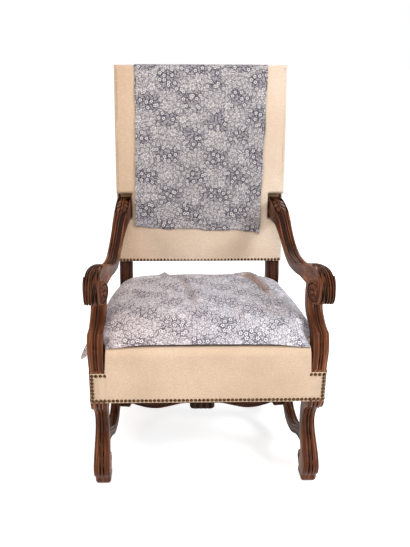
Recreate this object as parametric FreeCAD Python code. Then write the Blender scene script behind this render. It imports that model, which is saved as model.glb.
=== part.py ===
import FreeCAD, Part
import math
import os

# Upholstered armchair with S-curved legs and scrolled arms. Millimetres.
# X runs to the right as seen from the front, Y runs backwards, Z runs up.
# While it is drawn, Y is 0 at the seat's front face. At the end every piece
# moves forward by half the depth, so that the origin is the floor's centre.

# Seat frame
seat_front_width = 640.0
seat_rear_width = 542.0
seat_depth = 578.0
rail_bottom = 271.0
rail_height = 88.5
rail_thickness = 25.0
seat_top = 430.0
seat_shoulder = 24.0
tenon_thickness = 9.0
tenon_setback = 8.0
tenon_length = 20.0
tenon_shoulder = 15.0
glue_gap = 0.15

# Cloth and padding
cover_thickness = 1.5
cloth_gap = 0.3
web_width = 50.0
web_thickness = 1.5
hessian_thickness = 1.0
dust_cloth_inset = 16.0

# Front legs
leg_width = 48.0
leg_block_depth = 48.0
leg_sweep = 87.0
leg_belly = 6.0
foot_height = 26.0
foot_setback = 12.0
foot_width = 35.0
foot_depth = 42.0

# Rear posts
post_width = 43.0
post_block_depth = 45.0
back_rake = 7.64

# Stretchers
side_stretcher_thickness = 27.0
side_stretcher_height = 34.0
side_stretcher_low = 66.0
cross_stretcher_thickness = 30.0
cross_stretcher_height = 42.0
side_stretcher_lift = 36.0
cross_stretcher_low = 91.0
boss_width = 86.0
boss_depth = 66.0
boss_height = 80.0
boss_low = 92.0

# Arms
arm_width = 36.0
arm_thickness = 31.0
arm_dip_height = 586.0
arm_rear_rise = 97.0
arm_rear_block = 64.0
arm_rear_width = 45.0
arm_rear_x = 252.0
arm_dip_x = 272.0
dowel_radius = 6.0
dowel_length = 36.0
scroll_x = 300.0
scroll_width = 44.0
scroll_rise = 47.0
scroll_height = 84.0
scroll_overhang = 12.0
support_width = 43.0
support_sweep = 98.0
support_depth = 46.0

# Back panel
panel_width = 550.0
panel_height = 629.0
panel_bottom = 508.0
panel_setback = 47.5
panel_bulge = 12.0
panel_edge_radius = 8.0
pad_edge = 12.0
back_frame_depth = 42.0
back_rail_height = 58.0
back_rail_thickness = 28.0
arm_notch_gap = 1.2

# Nails, pegs and screws
nail_radius = 5.2
nail_height = 3.0
nail_pitch = 11.2
nail_margin = 6.5
peg_radius = 4.0
peg_gap = 0.1
screw_radius = 2.5
screw_head_radius = 5.0
screw_length = 45.0
corner_block_leg = 52.0
corner_block_height = 60.0
corner_block_drop = 12.0
corner_block_bevel = 12.0
rear_peg_clearance = 12.0
tenon_shoulder = 12.0

# Loose cushion and draped cloth
cushion_side_gap = 26.0
cushion_rear_side_gap = 9.0
cushion_support_gap = 5.0
cushion_rear_gap = 25.0
cushion_front_y = 8.0
cushion_thickness = 79.0
cushion_seam_height = 11.0
cloth_width = 424.0
cloth_front_drop = 512.0
cloth_rear_drop = 330.0
cloth_thickness = 1.2
cloth_drift = 17.0
cloth_slant = 15.0

# Sizes that follow from those above
rail_top = rail_bottom + rail_height
wood_inset = cover_thickness + cloth_gap
seat_slant = (seat_front_width - seat_rear_width) / 2.0 / seat_depth
leg_outer_x = seat_front_width / 2.0 + 0.5
leg_inner_x = leg_outer_x - leg_width
leg_back_y = wood_inset + leg_block_depth
post_outer_x = seat_rear_width / 2.0
post_inner_x = post_outer_x - post_width
post_front_y = seat_depth - post_block_depth
rake = math.radians(back_rake)
frame_front = pad_edge + cloth_gap + hessian_thickness + cloth_gap + 2.0 * (web_thickness + cloth_gap)
frame_rear = frame_front + back_frame_depth
panel_depth = frame_rear + cloth_gap + cover_thickness
stretcher_y = (leg_back_y + post_front_y) / 2.0
foot_front_y = -leg_belly
panel_front_y = seat_depth - panel_setback
scroll_top = arm_dip_height + scroll_rise
arm_rear_height = arm_dip_height + arm_rear_rise
cushion_width = seat_front_width - 2.0 * cushion_side_gap
cushion_rear_width = seat_rear_width - 2.0 * cushion_rear_side_gap
cushion_front_width = 2.0 * (leg_outer_x - support_width - cushion_support_gap)
cushion_rear_y = post_front_y - cushion_rear_gap
far = 2000.0

V = FreeCAD.Vector


# Helpers for outlines and solids

def box(x0, y0, z0, x1, y1, z1):
    """A block between two corners."""
    return Part.makeBox(x1 - x0, y1 - y0, z1 - z0, V(x0, y0, z0))


def mirrored(shape):
    """The same piece on the other side of the chair."""
    return shape.mirror(V(0, 0, 0), V(1, 0, 0))


def side_points(points, x=0.0):
    """Points of a side view, given as (Y, Z)."""
    return [V(x, y, z) for y, z in points]


def front_points(points, y=0.0):
    """Points of a front view, given as (X, Z)."""
    return [V(x, y, z) for x, z in points]


def plan_points(points, z=0.0):
    """Points of a view from above, given as (X, Y)."""
    return [V(x, y, z) for x, y in points]


def curve(points):
    """One smooth edge through all the points."""
    line = Part.BSplineCurve()
    line.interpolate(points)
    return line.toShape()


def chain(points):
    """Straight edges from point to point."""
    return [Part.makeLine(a, b) for a, b in zip(points[:-1], points[1:])]


def prism(edges, direction):
    """The solid swept by a closed outline along one direction."""
    wire = Part.Wire(Part.__sortEdges__(edges))
    return Part.Face(wire).extrude(direction)


def polygon_prism(points, direction):
    """The solid swept by a polygon along one direction."""
    return prism(chain(points + points[:1]), direction)


def one_solid(shape):
    """The shape's largest solid, with its split faces joined."""
    whole = shape.removeSplitter()
    return max(whole.Solids, key=lambda solid: solid.Volume)


def cut_all(shape, tools):
    """The shape with every tool taken from it."""
    for tool in tools:
        shape = shape.cut(tool)
    return shape


# The seat's plan, a trapezium that narrows towards the back

def half_width(y, inset=0.0):
    """Half the seat's width at depth y, inside its outer line by an inset."""
    return seat_front_width / 2.0 - seat_slant * y - inset * math.hypot(1.0, seat_slant)


def seat_plan(inset, z):
    """The seat's outline from above, smaller by the inset."""
    front = inset
    rear = seat_depth - inset
    corners = [
        (-half_width(front, inset), front),
        (half_width(front, inset), front),
        (half_width(rear, inset), rear),
        (-half_width(rear, inset), rear),
    ]
    return plan_points(corners, z)


def seat_prism(inset, z0, z1):
    """An upright block with the seat's outline."""
    return polygon_prism(seat_plan(inset, z0), V(0, 0, z1 - z0))


def side_band(y0, y1, inset0, inset1, z0, z1):
    """A block that follows the right side of the seat between two insets."""
    corners = [
        (half_width(y0, inset0), y0),
        (half_width(y1, inset0), y1),
        (half_width(y1, inset1), y1),
        (half_width(y0, inset1), y0),
    ]
    return polygon_prism(plan_points(corners, z0), V(0, 0, z1 - z0))


# The back panel's frame of reference, leaning backwards

def raked(depth, rise):
    """Side view point at a depth behind the panel's front and a rise above its bottom edge."""
    y = panel_front_y + depth * math.cos(rake) + rise * math.sin(rake)
    z = panel_bottom - depth * math.sin(rake) + rise * math.cos(rake)
    return (y, z)


def raked_box(x0, depth0, rise0, x1, depth1, rise1):
    """A block that leans with the back."""
    corners = [raked(depth0, rise0), raked(depth1, rise0), raked(depth1, rise1), raked(depth0, rise1)]
    return polygon_prism(side_points(corners, x0), V(x1 - x0, 0, 0))


def rise_at(height):
    """The rise along the back of a point at the given height on the panel's front."""
    return (height - panel_bottom) / math.cos(rake)


# Seat rails and their tenons

def side_rail_tenons(grow):
    """Both tenons of the right side rail, larger by grow where they are mortises."""
    inset0 = wood_inset + tenon_setback - grow
    inset1 = wood_inset + tenon_setback + tenon_thickness + grow
    z0 = rail_bottom + tenon_shoulder - grow
    z1 = rail_top - tenon_shoulder + grow
    front = side_band(leg_back_y - tenon_length - grow, leg_back_y, inset0, inset1, z0, z1)
    rear = side_band(post_front_y, post_front_y + tenon_length + grow, inset0, inset1, z0, z1)
    return [front, rear]


def cross_rail_tenons(inner_x, y, grow):
    """Both tenons of a rail that runs across the seat."""
    z0 = rail_bottom + tenon_shoulder - grow
    z1 = rail_top - tenon_shoulder + grow
    reach = inner_x + tenon_length + grow
    right = box(inner_x, y - grow, z0, reach, y + tenon_thickness + grow, z1)
    return [right, mirrored(right)]


front_tenon_y = wood_inset + tenon_setback
rear_tenon_y = seat_depth - wood_inset - tenon_setback - tenon_thickness


def rail_pegs(grow):
    """The pegs that lock the rails' tenons, right side, standing just inside the cover."""
    radius = peg_radius + grow
    z_low = rail_bottom + rail_height * 0.36
    z_high = rail_bottom + rail_height * 0.64
    pegs = []
    for z in (z_low, z_high):
        x = leg_inner_x + tenon_length / 2.0
        length = leg_block_depth - 6.0
        pegs.append(Part.makeCylinder(radius, length, V(x, wood_inset, z), V(0, 1, 0)))
        x = post_inner_x + tenon_length / 2.0
        length = post_block_depth - wood_inset - rear_peg_clearance
        start = seat_depth - wood_inset - length
        pegs.append(Part.makeCylinder(radius, length, V(x, start, z), V(0, 1, 0)))
    return pegs


def make_front_rail():
    rail = box(-leg_inner_x, wood_inset, rail_bottom, leg_inner_x, wood_inset + rail_thickness, rail_top)
    tenons = cross_rail_tenons(leg_inner_x, front_tenon_y, 0.0)
    rail = rail.fuse(tenons)
    pegs = rail_pegs(peg_gap)
    return one_solid(cut_all(rail, pegs + [mirrored(peg) for peg in pegs] + corner_screw_holes()))


def make_rear_rail():
    rear = seat_depth - wood_inset
    rail = box(-post_inner_x, rear - rail_thickness, rail_bottom, post_inner_x, rear, rail_top)
    tenons = cross_rail_tenons(post_inner_x, rear_tenon_y, 0.0)
    rail = rail.fuse(tenons)
    pegs = rail_pegs(peg_gap)
    return one_solid(cut_all(rail, pegs + [mirrored(peg) for peg in pegs] + corner_screw_holes()))


def make_side_rail():
    inset1 = wood_inset + rail_thickness
    rail = side_band(leg_back_y, post_front_y, wood_inset, inset1, rail_bottom, rail_top)
    rail = rail.fuse(side_rail_tenons(0.0))
    return one_solid(cut_all(rail, corner_screw_holes()))


# Corner blocks inside the seat frame, with the screws that hold them

def corner_block_corners():
    """The inner corners of the right half of the seat frame, with the signs of their two legs."""
    front_y = leg_back_y
    rear_y = post_front_y
    return [(front_y, 1.0), (rear_y, -1.0)]


def make_corner_blocks():
    """Four bevelled blocks, each against a side rail and the face of a leg or post."""
    blocks = []
    z0 = rail_top - corner_block_height - corner_block_drop
    for y, sign in corner_block_corners():
        near = wood_inset + rail_thickness
        far_y = y + sign * corner_block_leg
        x0 = half_width(y, near)
        x1 = half_width(far_y, near)
        reach = x0 - corner_block_leg
        slope_x = x1 - corner_block_bevel
        slope_y = y + sign * corner_block_bevel
        corners = [(x0, y), (x1, far_y), (slope_x, far_y), (reach, slope_y), (reach, y)]
        block = polygon_prism(plan_points(corners, z0), V(0, 0, corner_block_height))
        blocks.append(block)
    cut = [block.cut(front_and_rear_rail_space()) for block in blocks]
    holed = [cut_all(block, corner_screw_holes()) for block in cut]
    right = [one_solid(block) for block in holed]
    return Part.makeCompound(right + [mirrored(block) for block in right])


def front_and_rear_rail_space():
    """The room that the front and rear rails take, so that the blocks stay behind them."""
    front = box(-far, -far, 0, far, wood_inset + rail_thickness, far)
    rear = box(-far, seat_depth - wood_inset - rail_thickness, 0, far, far, far)
    return front.fuse(rear)


def corner_screw_axes():
    """Where the right-hand corner screws start, and the way they point into the side rail."""
    axes = []
    z = rail_top - corner_block_drop - corner_block_height / 2.0
    for y, sign in corner_block_corners():
        middle_y = y + sign * corner_block_leg * 0.62
        rail_x = half_width(middle_y, wood_inset + rail_thickness)
        for shift in (-16.0, 16.0):
            axes.append((V(rail_x - screw_embedded(), middle_y, z + shift), V(1, 0, 0)))
    return axes


def screw_embedded():
    """How far a corner screw's head stands off the side rail's inner face."""
    return screw_length * 0.58


def corner_screw_holes():
    """The holes for the corner screws' shanks and heads, on both sides."""
    holes = []
    for start, way in corner_screw_axes():
        shank = Part.makeCylinder(screw_radius + peg_gap, screw_length + peg_gap, start, way)
        room = Part.makeCylinder(screw_head_radius + 1.0, corner_block_leg, start, V(-1, 0, 0))
        holes.append(shank)
        holes.append(room)
    return holes + [mirrored(hole) for hole in holes]


def make_corner_screws():
    """Eight slotted wood screws with flat heads."""
    screws = []
    for start, way in corner_screw_axes():
        shank = Part.makeCylinder(screw_radius, screw_length, start, way)
        head = Part.makeCylinder(screw_head_radius, 2.5, start, V(-1, 0, 0))
        slot = box(start.x - 2.5, start.y - 0.6, start.z - far, start.x - 1.2, start.y + 0.6, start.z + far)
        screws.append(shank.fuse(head).cut(slot).removeSplitter().Solids[0])
    return Part.makeCompound(screws + [mirrored(screw) for screw in screws])


# Legs with the double curve of a mutton bone, drawn from the side and from the front

def leg_side_edges(block_front, block_back):
    """Side outline of a leg below the rail: belly forward at the foot, neck set back."""
    h = rail_bottom
    depth = block_back - block_front
    front = [
        (block_front, h),
        (block_front + 0.07 * leg_sweep, 0.935 * h),
        (block_front + 0.46 * leg_sweep, 0.838 * h),
        (block_front + 0.87 * leg_sweep, 0.727 * h),
        (block_front + leg_sweep, 0.605 * h),
        (block_front + 0.88 * leg_sweep, 0.51 * h),
        (block_front + 0.6 * leg_sweep, 0.435 * h),
        (block_front + 0.29 * leg_sweep, 0.36 * h),
        (block_front + 0.07 * leg_sweep, 0.295 * h),
        (foot_front_y + 0.4 * leg_belly, 0.23 * h),
        (foot_front_y, 0.17 * h),
        (foot_front_y + 0.7 * foot_setback, foot_height),
    ]
    back = [
        (block_back, h),
        (block_back + 0.09 * leg_sweep, 0.925 * h),
        (block_front + depth + 0.52 * leg_sweep, 0.81 * h),
        (block_back + 0.84 * leg_sweep, 0.67 * h),
        (block_back + 0.88 * leg_sweep, 0.55 * h),
        (block_back + 0.74 * leg_sweep, 0.455 * h),
        (block_back + 0.46 * leg_sweep, 0.39 * h),
        (block_back + 0.18 * leg_sweep, 0.345 * h),
        (block_back + 0.03 * leg_sweep, 0.3 * h),
    ]
    heel_y = block_back + 0.37 * leg_sweep
    heel_top = 0.25 * h
    pad_front = foot_front_y + leg_belly + foot_setback
    pad_back = pad_front + foot_depth
    heel = Part.Arc(
        V(0, back[-1][0], back[-1][1]),
        V(0, heel_y - 0.12 * leg_sweep, heel_top),
        V(0, heel_y, 0.2 * h),
    )
    under = Part.Arc(
        V(0, heel_y, 0.2 * h),
        V(0, heel_y - 0.06 * leg_sweep, 0.12 * h),
        V(0, pad_back, foot_height - 4.0),
    )
    pad = [
        (pad_back, foot_height - 4.0),
        (pad_back, 0.0),
        (pad_front, 0.0),
        (pad_front, foot_height),
        (foot_front_y + 0.7 * foot_setback, foot_height),
    ]
    edges = [curve(side_points(front)), curve(side_points(back)), heel.toShape(), under.toShape()]
    edges += chain(side_points(pad))
    edges += chain(side_points([(block_front, h), (block_back, h)]))
    return edges


def leg_front_edges(outer_x, inner_x):
    """Front outline of a leg: waisted at the neck, stepped in at the foot pad."""
    h = rail_bottom
    width = outer_x - inner_x
    inner = [
        (inner_x, h),
        (inner_x + 0.08 * width, 0.87 * h),
        (inner_x + 0.22 * width, 0.7 * h),
        (inner_x + 0.21 * width, 0.55 * h),
        (inner_x + 0.07 * width, 0.4 * h),
        (inner_x + 0.02 * width, 0.26 * h),
        (inner_x + 0.06 * width, foot_height),
    ]
    pad_inner = outer_x - 5.0 - foot_width
    steps = [
        inner[-1],
        (pad_inner, foot_height),
        (pad_inner, 0.0),
        (outer_x - 5.0, 0.0),
        (outer_x - 5.0, foot_height),
        (outer_x, foot_height),
        (outer_x, h),
        (inner_x, h),
    ]
    return [curve(front_points(inner))] + chain(front_points(steps))


def leg_below_rail(block_front, block_back, outer_x, inner_x):
    """One S-curved leg, as the space that its side and front outlines share."""
    side = prism(leg_side_edges(block_front, block_back), V(outer_x + leg_width, 0, 0))
    front = prism(leg_front_edges(outer_x, inner_x), V(0, 4.0 * seat_depth, 0))
    front.translate(V(0, -seat_depth, 0))
    return side.common(front)


def make_front_leg():
    """The right front leg with its block in the seat's corner."""
    leg = leg_below_rail(0.0, leg_back_y, leg_outer_x, leg_inner_x)
    block = box(leg_inner_x, wood_inset, rail_bottom, leg_outer_x, leg_back_y, rail_top)
    block = block.common(seat_prism(wood_inset, rail_bottom, rail_top))
    leg = leg.fuse(block)
    mortises = [side_rail_tenons(glue_gap)[0], cross_rail_tenons(leg_inner_x, front_tenon_y, glue_gap)[0]]
    mortises += rail_pegs(peg_gap)
    mortises += [support_tenon(glue_gap), side_stretcher_tenons(glue_gap)[0], stretcher_pegs(peg_gap)[0]]
    return one_solid(cut_all(leg, mortises))


def rear_leg_shape():
    """The right rear leg below the rail, which mirrors the front leg from front to back."""
    block_back = post_block_depth
    leg = leg_below_rail(0.0, block_back, post_outer_x, post_inner_x)
    leg = leg.mirror(V(0, 0, 0), V(0, 1, 0))
    leg.translate(V(0, seat_depth, 0))
    return leg


def post_above_rail():
    """The straight stretch through the seat and the raked stretch up the back."""
    bottom_front = raked(frame_front, 0.0)
    bottom_back = raked(frame_rear, 0.0)
    top_front = raked(frame_front, panel_height - wood_inset - 2.0)
    top_back = raked(frame_rear, panel_height - wood_inset - 2.0)
    outline = [
        (post_front_y, rail_bottom),
        (seat_depth - wood_inset, rail_bottom),
        (seat_depth - wood_inset, seat_top - seat_shoulder),
        bottom_back,
        top_back,
        top_front,
        bottom_front,
        (post_front_y, seat_top),
    ]
    return polygon_prism(side_points(outline, post_inner_x), V(post_width, 0, 0))


def make_rear_post():
    """The right rear leg and back post in one length."""
    post = post_above_rail()
    upright = seat_prism(wood_inset, rail_bottom, seat_top)
    lower = post.common(box(-far, -far, 0, far, far, seat_top)).common(upright)
    upper = post.common(box(-far, -far, seat_top, far, far, far))
    post = upper.fuse(lower).fuse(rear_leg_shape())
    mortises = [side_rail_tenons(glue_gap)[1], cross_rail_tenons(post_inner_x, rear_tenon_y, glue_gap)[0]]
    mortises += rail_pegs(peg_gap)
    mortises += [side_stretcher_tenons(glue_gap)[1], stretcher_pegs(peg_gap)[1], arm_tenon(glue_gap)]
    mortises += [arm_screw_hole()]
    mortises += [tenon for rises in back_rail_rises() for tenon in back_rail_tenons(rises, glue_gap)]
    mortises += back_rail_pegs(peg_gap)
    return one_solid(cut_all(post, mortises))


# Stretchers between the legs

def stretcher_angle():
    """How far a side stretcher turns inwards from front to back, seen from above."""
    front_x = leg_outer_x - leg_width * 0.46
    rear_x = post_outer_x - post_width * 0.46
    return front_x, rear_x


def stretcher_x(y):
    """The middle of the right side stretcher at depth y."""
    front_x, rear_x = stretcher_angle()
    share = (y - leg_back_y) / (post_front_y - leg_back_y)
    return front_x + (rear_x - front_x) * share


def side_stretcher_edges():
    """Side outline of a side stretcher: low near each leg, raised in the middle."""
    low = side_stretcher_low
    mid = stretcher_y
    reach = mid - leg_back_y
    lift = side_stretcher_lift
    shares = [(1.0, 0.7 * lift), (0.74, 0.64 * lift), (0.42, 0.02 * lift), (0.2, 0.18 * lift), (0.0, lift)]
    under = [(mid - share * reach, low + rise) for share, rise in shares]
    under += [(2.0 * mid - y, z) for y, z in reversed(under[:-1])]
    heights = [1.25, 1.15, 0.95, 1.1, 1.35]
    over = [(y, z + side_stretcher_height * k) for (y, z), k in zip(under[:5], heights)]
    over += [(2.0 * mid - y, z) for y, z in reversed(over[:-1])]
    ends = chain(side_points([under[0], over[0]])) + chain(side_points([under[-1], over[-1]]))
    return [curve(side_points(under)), curve(side_points(over))] + ends


def turned_with_side(shape):
    """Turns a piece drawn along Y at X 0 into the line of the right side stretcher."""
    slope = (stretcher_x(post_front_y) - stretcher_x(leg_back_y)) / (post_front_y - leg_back_y)
    matrix = FreeCAD.Matrix()
    matrix.A12 = slope
    matrix.A14 = stretcher_x(0.0)
    return shape.transformGeometry(matrix)


def side_stretcher_bar(width):
    """The undulating bar before it is fitted to the legs."""
    bar = prism(side_stretcher_edges(), V(width, 0, 0))
    bar.translate(V(-width / 2.0, 0, 0))
    return bar


def stretcher_joint_height():
    """The height of the middle of the joint between a side stretcher and a leg."""
    return side_stretcher_low + 0.8 * side_stretcher_lift + 0.62 * side_stretcher_height


def stretcher_joint_depth():
    """The depth of the back of the front leg at that joint."""
    return leg_back_y + 0.66 * leg_sweep


def side_stretcher_tenons(grow):
    """Tenons of the right side stretcher in the front leg and in the rear leg."""
    z = stretcher_joint_height()
    half = 9.0 + grow
    thick = 5.0 + grow
    depth = stretcher_joint_depth()
    front_y = depth - 0.36 * leg_sweep - grow
    rear_y = 2.0 * stretcher_y - front_y
    front = box(-thick, front_y, z - half, thick, depth + 30.0, z + half)
    rear = box(-thick, rear_y - 54.0, z - half, thick, rear_y, z + half)
    return [turned_with_side(front), turned_with_side(rear)]


def stretcher_pegs(grow):
    """A peg through each joint of the right side stretcher, across the leg."""
    z = stretcher_joint_height()
    depth = stretcher_joint_depth() - 0.17 * leg_sweep
    pegs = []
    for y in (depth, 2.0 * stretcher_y - depth):
        start = V(stretcher_x(y) - 15.0, y, z)
        pegs.append(Part.makeCylinder(peg_radius * 0.75 + grow, 30.0, start, V(1, 0, 0)))
    return pegs


def cross_mortise(grow):
    """The tenon of the right half of the cross stretcher in the side stretcher."""
    z = side_stretcher_low + side_stretcher_lift + 0.5 * side_stretcher_height
    x = stretcher_x(stretcher_y) - side_stretcher_thickness / 2.0
    return box(x - 6.0, stretcher_y - 5.0 - grow, z - 11.0 - grow, x + 14.0 + grow, stretcher_y + 5.0 + grow, z + 11.0 + grow)


def make_side_stretcher(front_leg, rear_post):
    """The right side stretcher, fitted to the curved backs of the legs."""
    bar = turned_with_side(side_stretcher_bar(side_stretcher_thickness))
    for leg, way in ((front_leg, 1.0), (rear_post, -1.0)):
        near = leg.copy()
        near.translate(V(0, way * cloth_gap, 0))
        bar = bar.cut(leg).cut(near)
    bar = max(bar.Solids, key=lambda solid: solid.Volume)
    bar = bar.fuse(side_stretcher_tenons(0.0))
    return one_solid(cut_all(bar, [cross_mortise(glue_gap)] + stretcher_pegs(peg_gap)))


def cross_stretcher_edges(x0, x1):
    """Front outline of the right half of the cross stretcher, with a hanging lobe."""
    low = cross_stretcher_low
    span = x1 - x0
    under = [
        (x0, low + 18.0),
        (x0 + 0.1 * span, low + 17.0),
        (x0 + 0.27 * span, low + 8.0),
        (x0 + 0.46 * span, low),
        (x0 + 0.62 * span, low + 3.0),
        (x0 + 0.76 * span, low + 12.0),
        (x0 + 0.86 * span, low + 16.0),
    ]
    over = [(x, z + cross_stretcher_height * (0.86 if 0 < i < 5 else 1.0)) for i, (x, z) in enumerate(under)]
    block_x = x0 + 0.86 * span
    block = [
        (block_x, low + 16.0),
        (block_x, low + 7.0),
        (x1, low + 7.0),
        (x1, over[-1][1] + 3.0),
        (block_x, over[-1][1] + 3.0),
        (block_x, over[-1][1]),
    ]
    edges = [curve(front_points(under)), curve(front_points(over))]
    edges += chain(front_points(block))
    edges += chain(front_points([over[0], under[0]]))
    return edges


def boss_tenon(grow):
    """The tenon of the right half of the cross stretcher in the middle block."""
    z = cross_stretcher_low + 18.0 + cross_stretcher_height * 0.5
    x = boss_width / 2.0
    return box(x - 16.0 - grow, stretcher_y - 5.0 - grow, z - 9.0 - grow, x + 4.0, stretcher_y + 5.0 + grow, z + 9.0 + grow)


def make_cross_stretcher():
    """The right half of the cross stretcher."""
    x0 = boss_width / 2.0
    x1 = stretcher_x(stretcher_y) - side_stretcher_thickness / 2.0
    bar = prism(cross_stretcher_edges(x0, x1 + 4.0), V(0, cross_stretcher_thickness, 0))
    bar.translate(V(0, stretcher_y - cross_stretcher_thickness / 2.0, 0))
    near = turned_with_side(box(-side_stretcher_thickness / 2.0, 0, 0, side_stretcher_thickness, seat_depth, far))
    bar = bar.cut(near)
    return one_solid(bar.fuse([boss_tenon(0.0), cross_mortise(0.0)]))


def make_boss():
    """The block in the middle of the cross stretcher, rounded below."""
    low = boss_low
    half = boss_width / 2.0
    top = low + boss_height
    corner = 16.0
    lean = 3.0
    bottom = Part.Arc(V(half - corner, 0, low + 2.0), V(0, 0, low), V(corner - half, 0, low + 2.0)).toShape()
    right = Part.Arc(
        V(half - corner, 0, low + 2.0),
        V(half - 4.0 - lean, 0, low + 7.0),
        V(half - lean, 0, low + 22.0),
    ).toShape()
    left = mirrored(right)
    sides = [(half - lean, low + 22.0), (half, low + 34.0), (half, top), (-half, top), (-half, low + 34.0), (lean - half, low + 22.0)]
    boss = prism([bottom, right, left] + chain(front_points(sides)), V(0, boss_depth, 0))
    boss.translate(V(0, stretcher_y - boss_depth / 2.0, 0))
    hole = boss_tenon(glue_gap)
    return one_solid(boss.cut(hole).cut(mirrored(hole)))


# Arm supports and arms

def support_side_edges():
    """Side outline of an arm support: forward bulge, step, then a sweep back to the arm."""
    z0 = rail_top
    rise = arm_dip_height - rail_top
    front = [
        (wood_inset, z0),
        (wood_inset + 1.0, z0 + 0.12 * rise),
        (0.06 * support_sweep, z0 + 0.28 * rise),
        (0.2 * support_sweep, z0 + 0.45 * rise),
        (0.6 * support_sweep, z0 + 0.56 * rise),
        (0.92 * support_sweep, z0 + 0.65 * rise),
        (1.06 * support_sweep, z0 + 0.78 * rise),
        (1.02 * support_sweep, z0 + 1.02 * rise),
    ]
    back = [
        (wood_inset + support_depth, z0),
        (wood_inset + support_depth + 3.0, z0 + 0.16 * rise),
        (support_depth + 0.2 * support_sweep, z0 + 0.35 * rise),
        (support_depth + 0.55 * support_sweep, z0 + 0.47 * rise),
        (support_depth + 0.87 * support_sweep, z0 + 0.56 * rise),
        (support_depth + 1.04 * support_sweep, z0 + 0.7 * rise),
        (support_depth + 1.06 * support_sweep, z0 + 0.85 * rise),
        (support_depth + 0.98 * support_sweep, z0 + 1.02 * rise),
    ]
    ends = chain(side_points([front[0], back[0]])) + chain(side_points([front[-1], back[-1]]))
    return [curve(side_points(front)), curve(side_points(back))] + ends


def support_front_edges():
    """Front outline of an arm support, a little fuller above the seat."""
    z0 = rail_top
    rise = arm_dip_height - rail_top
    outer = leg_outer_x
    inner = outer - support_width
    right = [
        (outer - 0.5, z0),
        (outer + 3.0, z0 + 0.29 * rise),
        (outer + 0.5, z0 + 0.49 * rise),
        (outer - 1.5, z0 + 0.64 * rise),
        (outer - 1.0, z0 + 1.02 * rise),
    ]
    left = [
        (inner + 0.5, z0),
        (inner + 1.5, z0 + 0.3 * rise),
        (inner - 2.0, z0 + 0.64 * rise),
        (inner - 1.0, z0 + 1.02 * rise),
    ]
    ends = chain(front_points([right[0], left[0]])) + chain(front_points([right[-1], left[-1]]))
    return [curve(front_points(right)), curve(front_points(left))] + ends


def support_tenon(grow):
    """The tenon under the right arm support, in the top of the leg's block."""
    x = leg_outer_x - support_width / 2.0 - 2.0
    y = wood_inset + support_depth / 2.0 + 5.0
    depth = tenon_shoulder + grow
    return box(x - 10.0 - grow, y - 6.0 - grow, rail_top - depth, x + 10.0 + grow, y + 6.0 + grow, rail_top)


def support_dowel_place():
    """The middle of the joint between a support and its arm."""
    return V(leg_outer_x - support_width / 2.0 - 1.0, 1.02 * support_sweep + support_depth * 0.45, arm_dip_height - 6.0)


def arm_dowel(grow):
    """The dowel between the right arm support and its arm."""
    place = support_dowel_place()
    start = V(place.x, place.y, place.z - 0.6 * dowel_length - grow)
    return Part.makeCylinder(dowel_radius + grow, dowel_length + 2.0 * grow, start, V(0, 0, 1))


def arm_side_edges():
    """Side outline of an arm: carved block behind, dip, scroll in front."""
    half = arm_thickness / 2.0
    dip = arm_dip_height
    rise = arm_rear_rise
    end_y = arm_end_y()
    top = [
        (end_y, arm_rear_height + 0.48 * arm_rear_block),
        (along_arm(1.0), arm_rear_height + 0.47 * arm_rear_block),
        (along_arm(0.9), arm_rear_height + 0.37 * arm_rear_block),
        (along_arm(0.83), arm_rear_height + 0.2 * arm_rear_block),
        (along_arm(0.795), dip + 0.77 * rise + half),
        (along_arm(0.735), dip + 0.37 * rise + half),
        (along_arm(0.685), dip + 0.18 * rise + half),
        (along_arm(0.617), dip + 0.05 * rise + half),
        (along_arm(0.49), dip + half),
        (along_arm(0.385), dip + half),
        (along_arm(0.281), dip + 0.45 * scroll_rise + half),
        (along_arm(0.178), scroll_top - 4.0),
        (along_arm(0.11), scroll_top),
        (along_arm(0.034), scroll_top - 0.12 * scroll_height),
        (4.0 - scroll_overhang, scroll_top - 0.34 * scroll_height),
        (1.0 - scroll_overhang, scroll_top - 0.66 * scroll_height),
        (6.0, scroll_top - 0.94 * scroll_height),
        (0.4 * scroll_height, scroll_top - scroll_height),
    ]
    bottom = [
        (0.4 * scroll_height, scroll_top - scroll_height),
        (0.74 * scroll_height, scroll_top - 0.93 * scroll_height),
        (along_arm(0.187), dip - half),
        (along_arm(0.281), dip - 0.8 * half),
        (along_arm(0.385), dip - half),
        (along_arm(0.5), dip - half),
        (along_arm(0.62), dip + 0.04 * rise - half),
        (along_arm(0.7), dip + 0.22 * rise - half),
        (along_arm(0.77), dip + 0.5 * rise - half),
        (along_arm(0.84), arm_rear_height - 0.41 * arm_rear_block),
        (along_arm(0.92), arm_rear_height - 0.43 * arm_rear_block),
        (along_arm(0.98), arm_rear_height - 0.44 * arm_rear_block),
        (along_arm(1.03), arm_rear_height - 0.44 * arm_rear_block),
        (end_y, arm_rear_height - 0.44 * arm_rear_block),
    ]
    end = chain(side_points([bottom[-1], top[0]]))
    return [curve(side_points(top)), curve(side_points(bottom))] + end


def arm_end_y():
    """Depth at which the arm is drawn to, inside its post."""
    return post_front_y + 45.0


def along_arm(share):
    """Depth of a point on the arm, by its share of the way from the seat's front to the post."""
    return share * post_front_y


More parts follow.
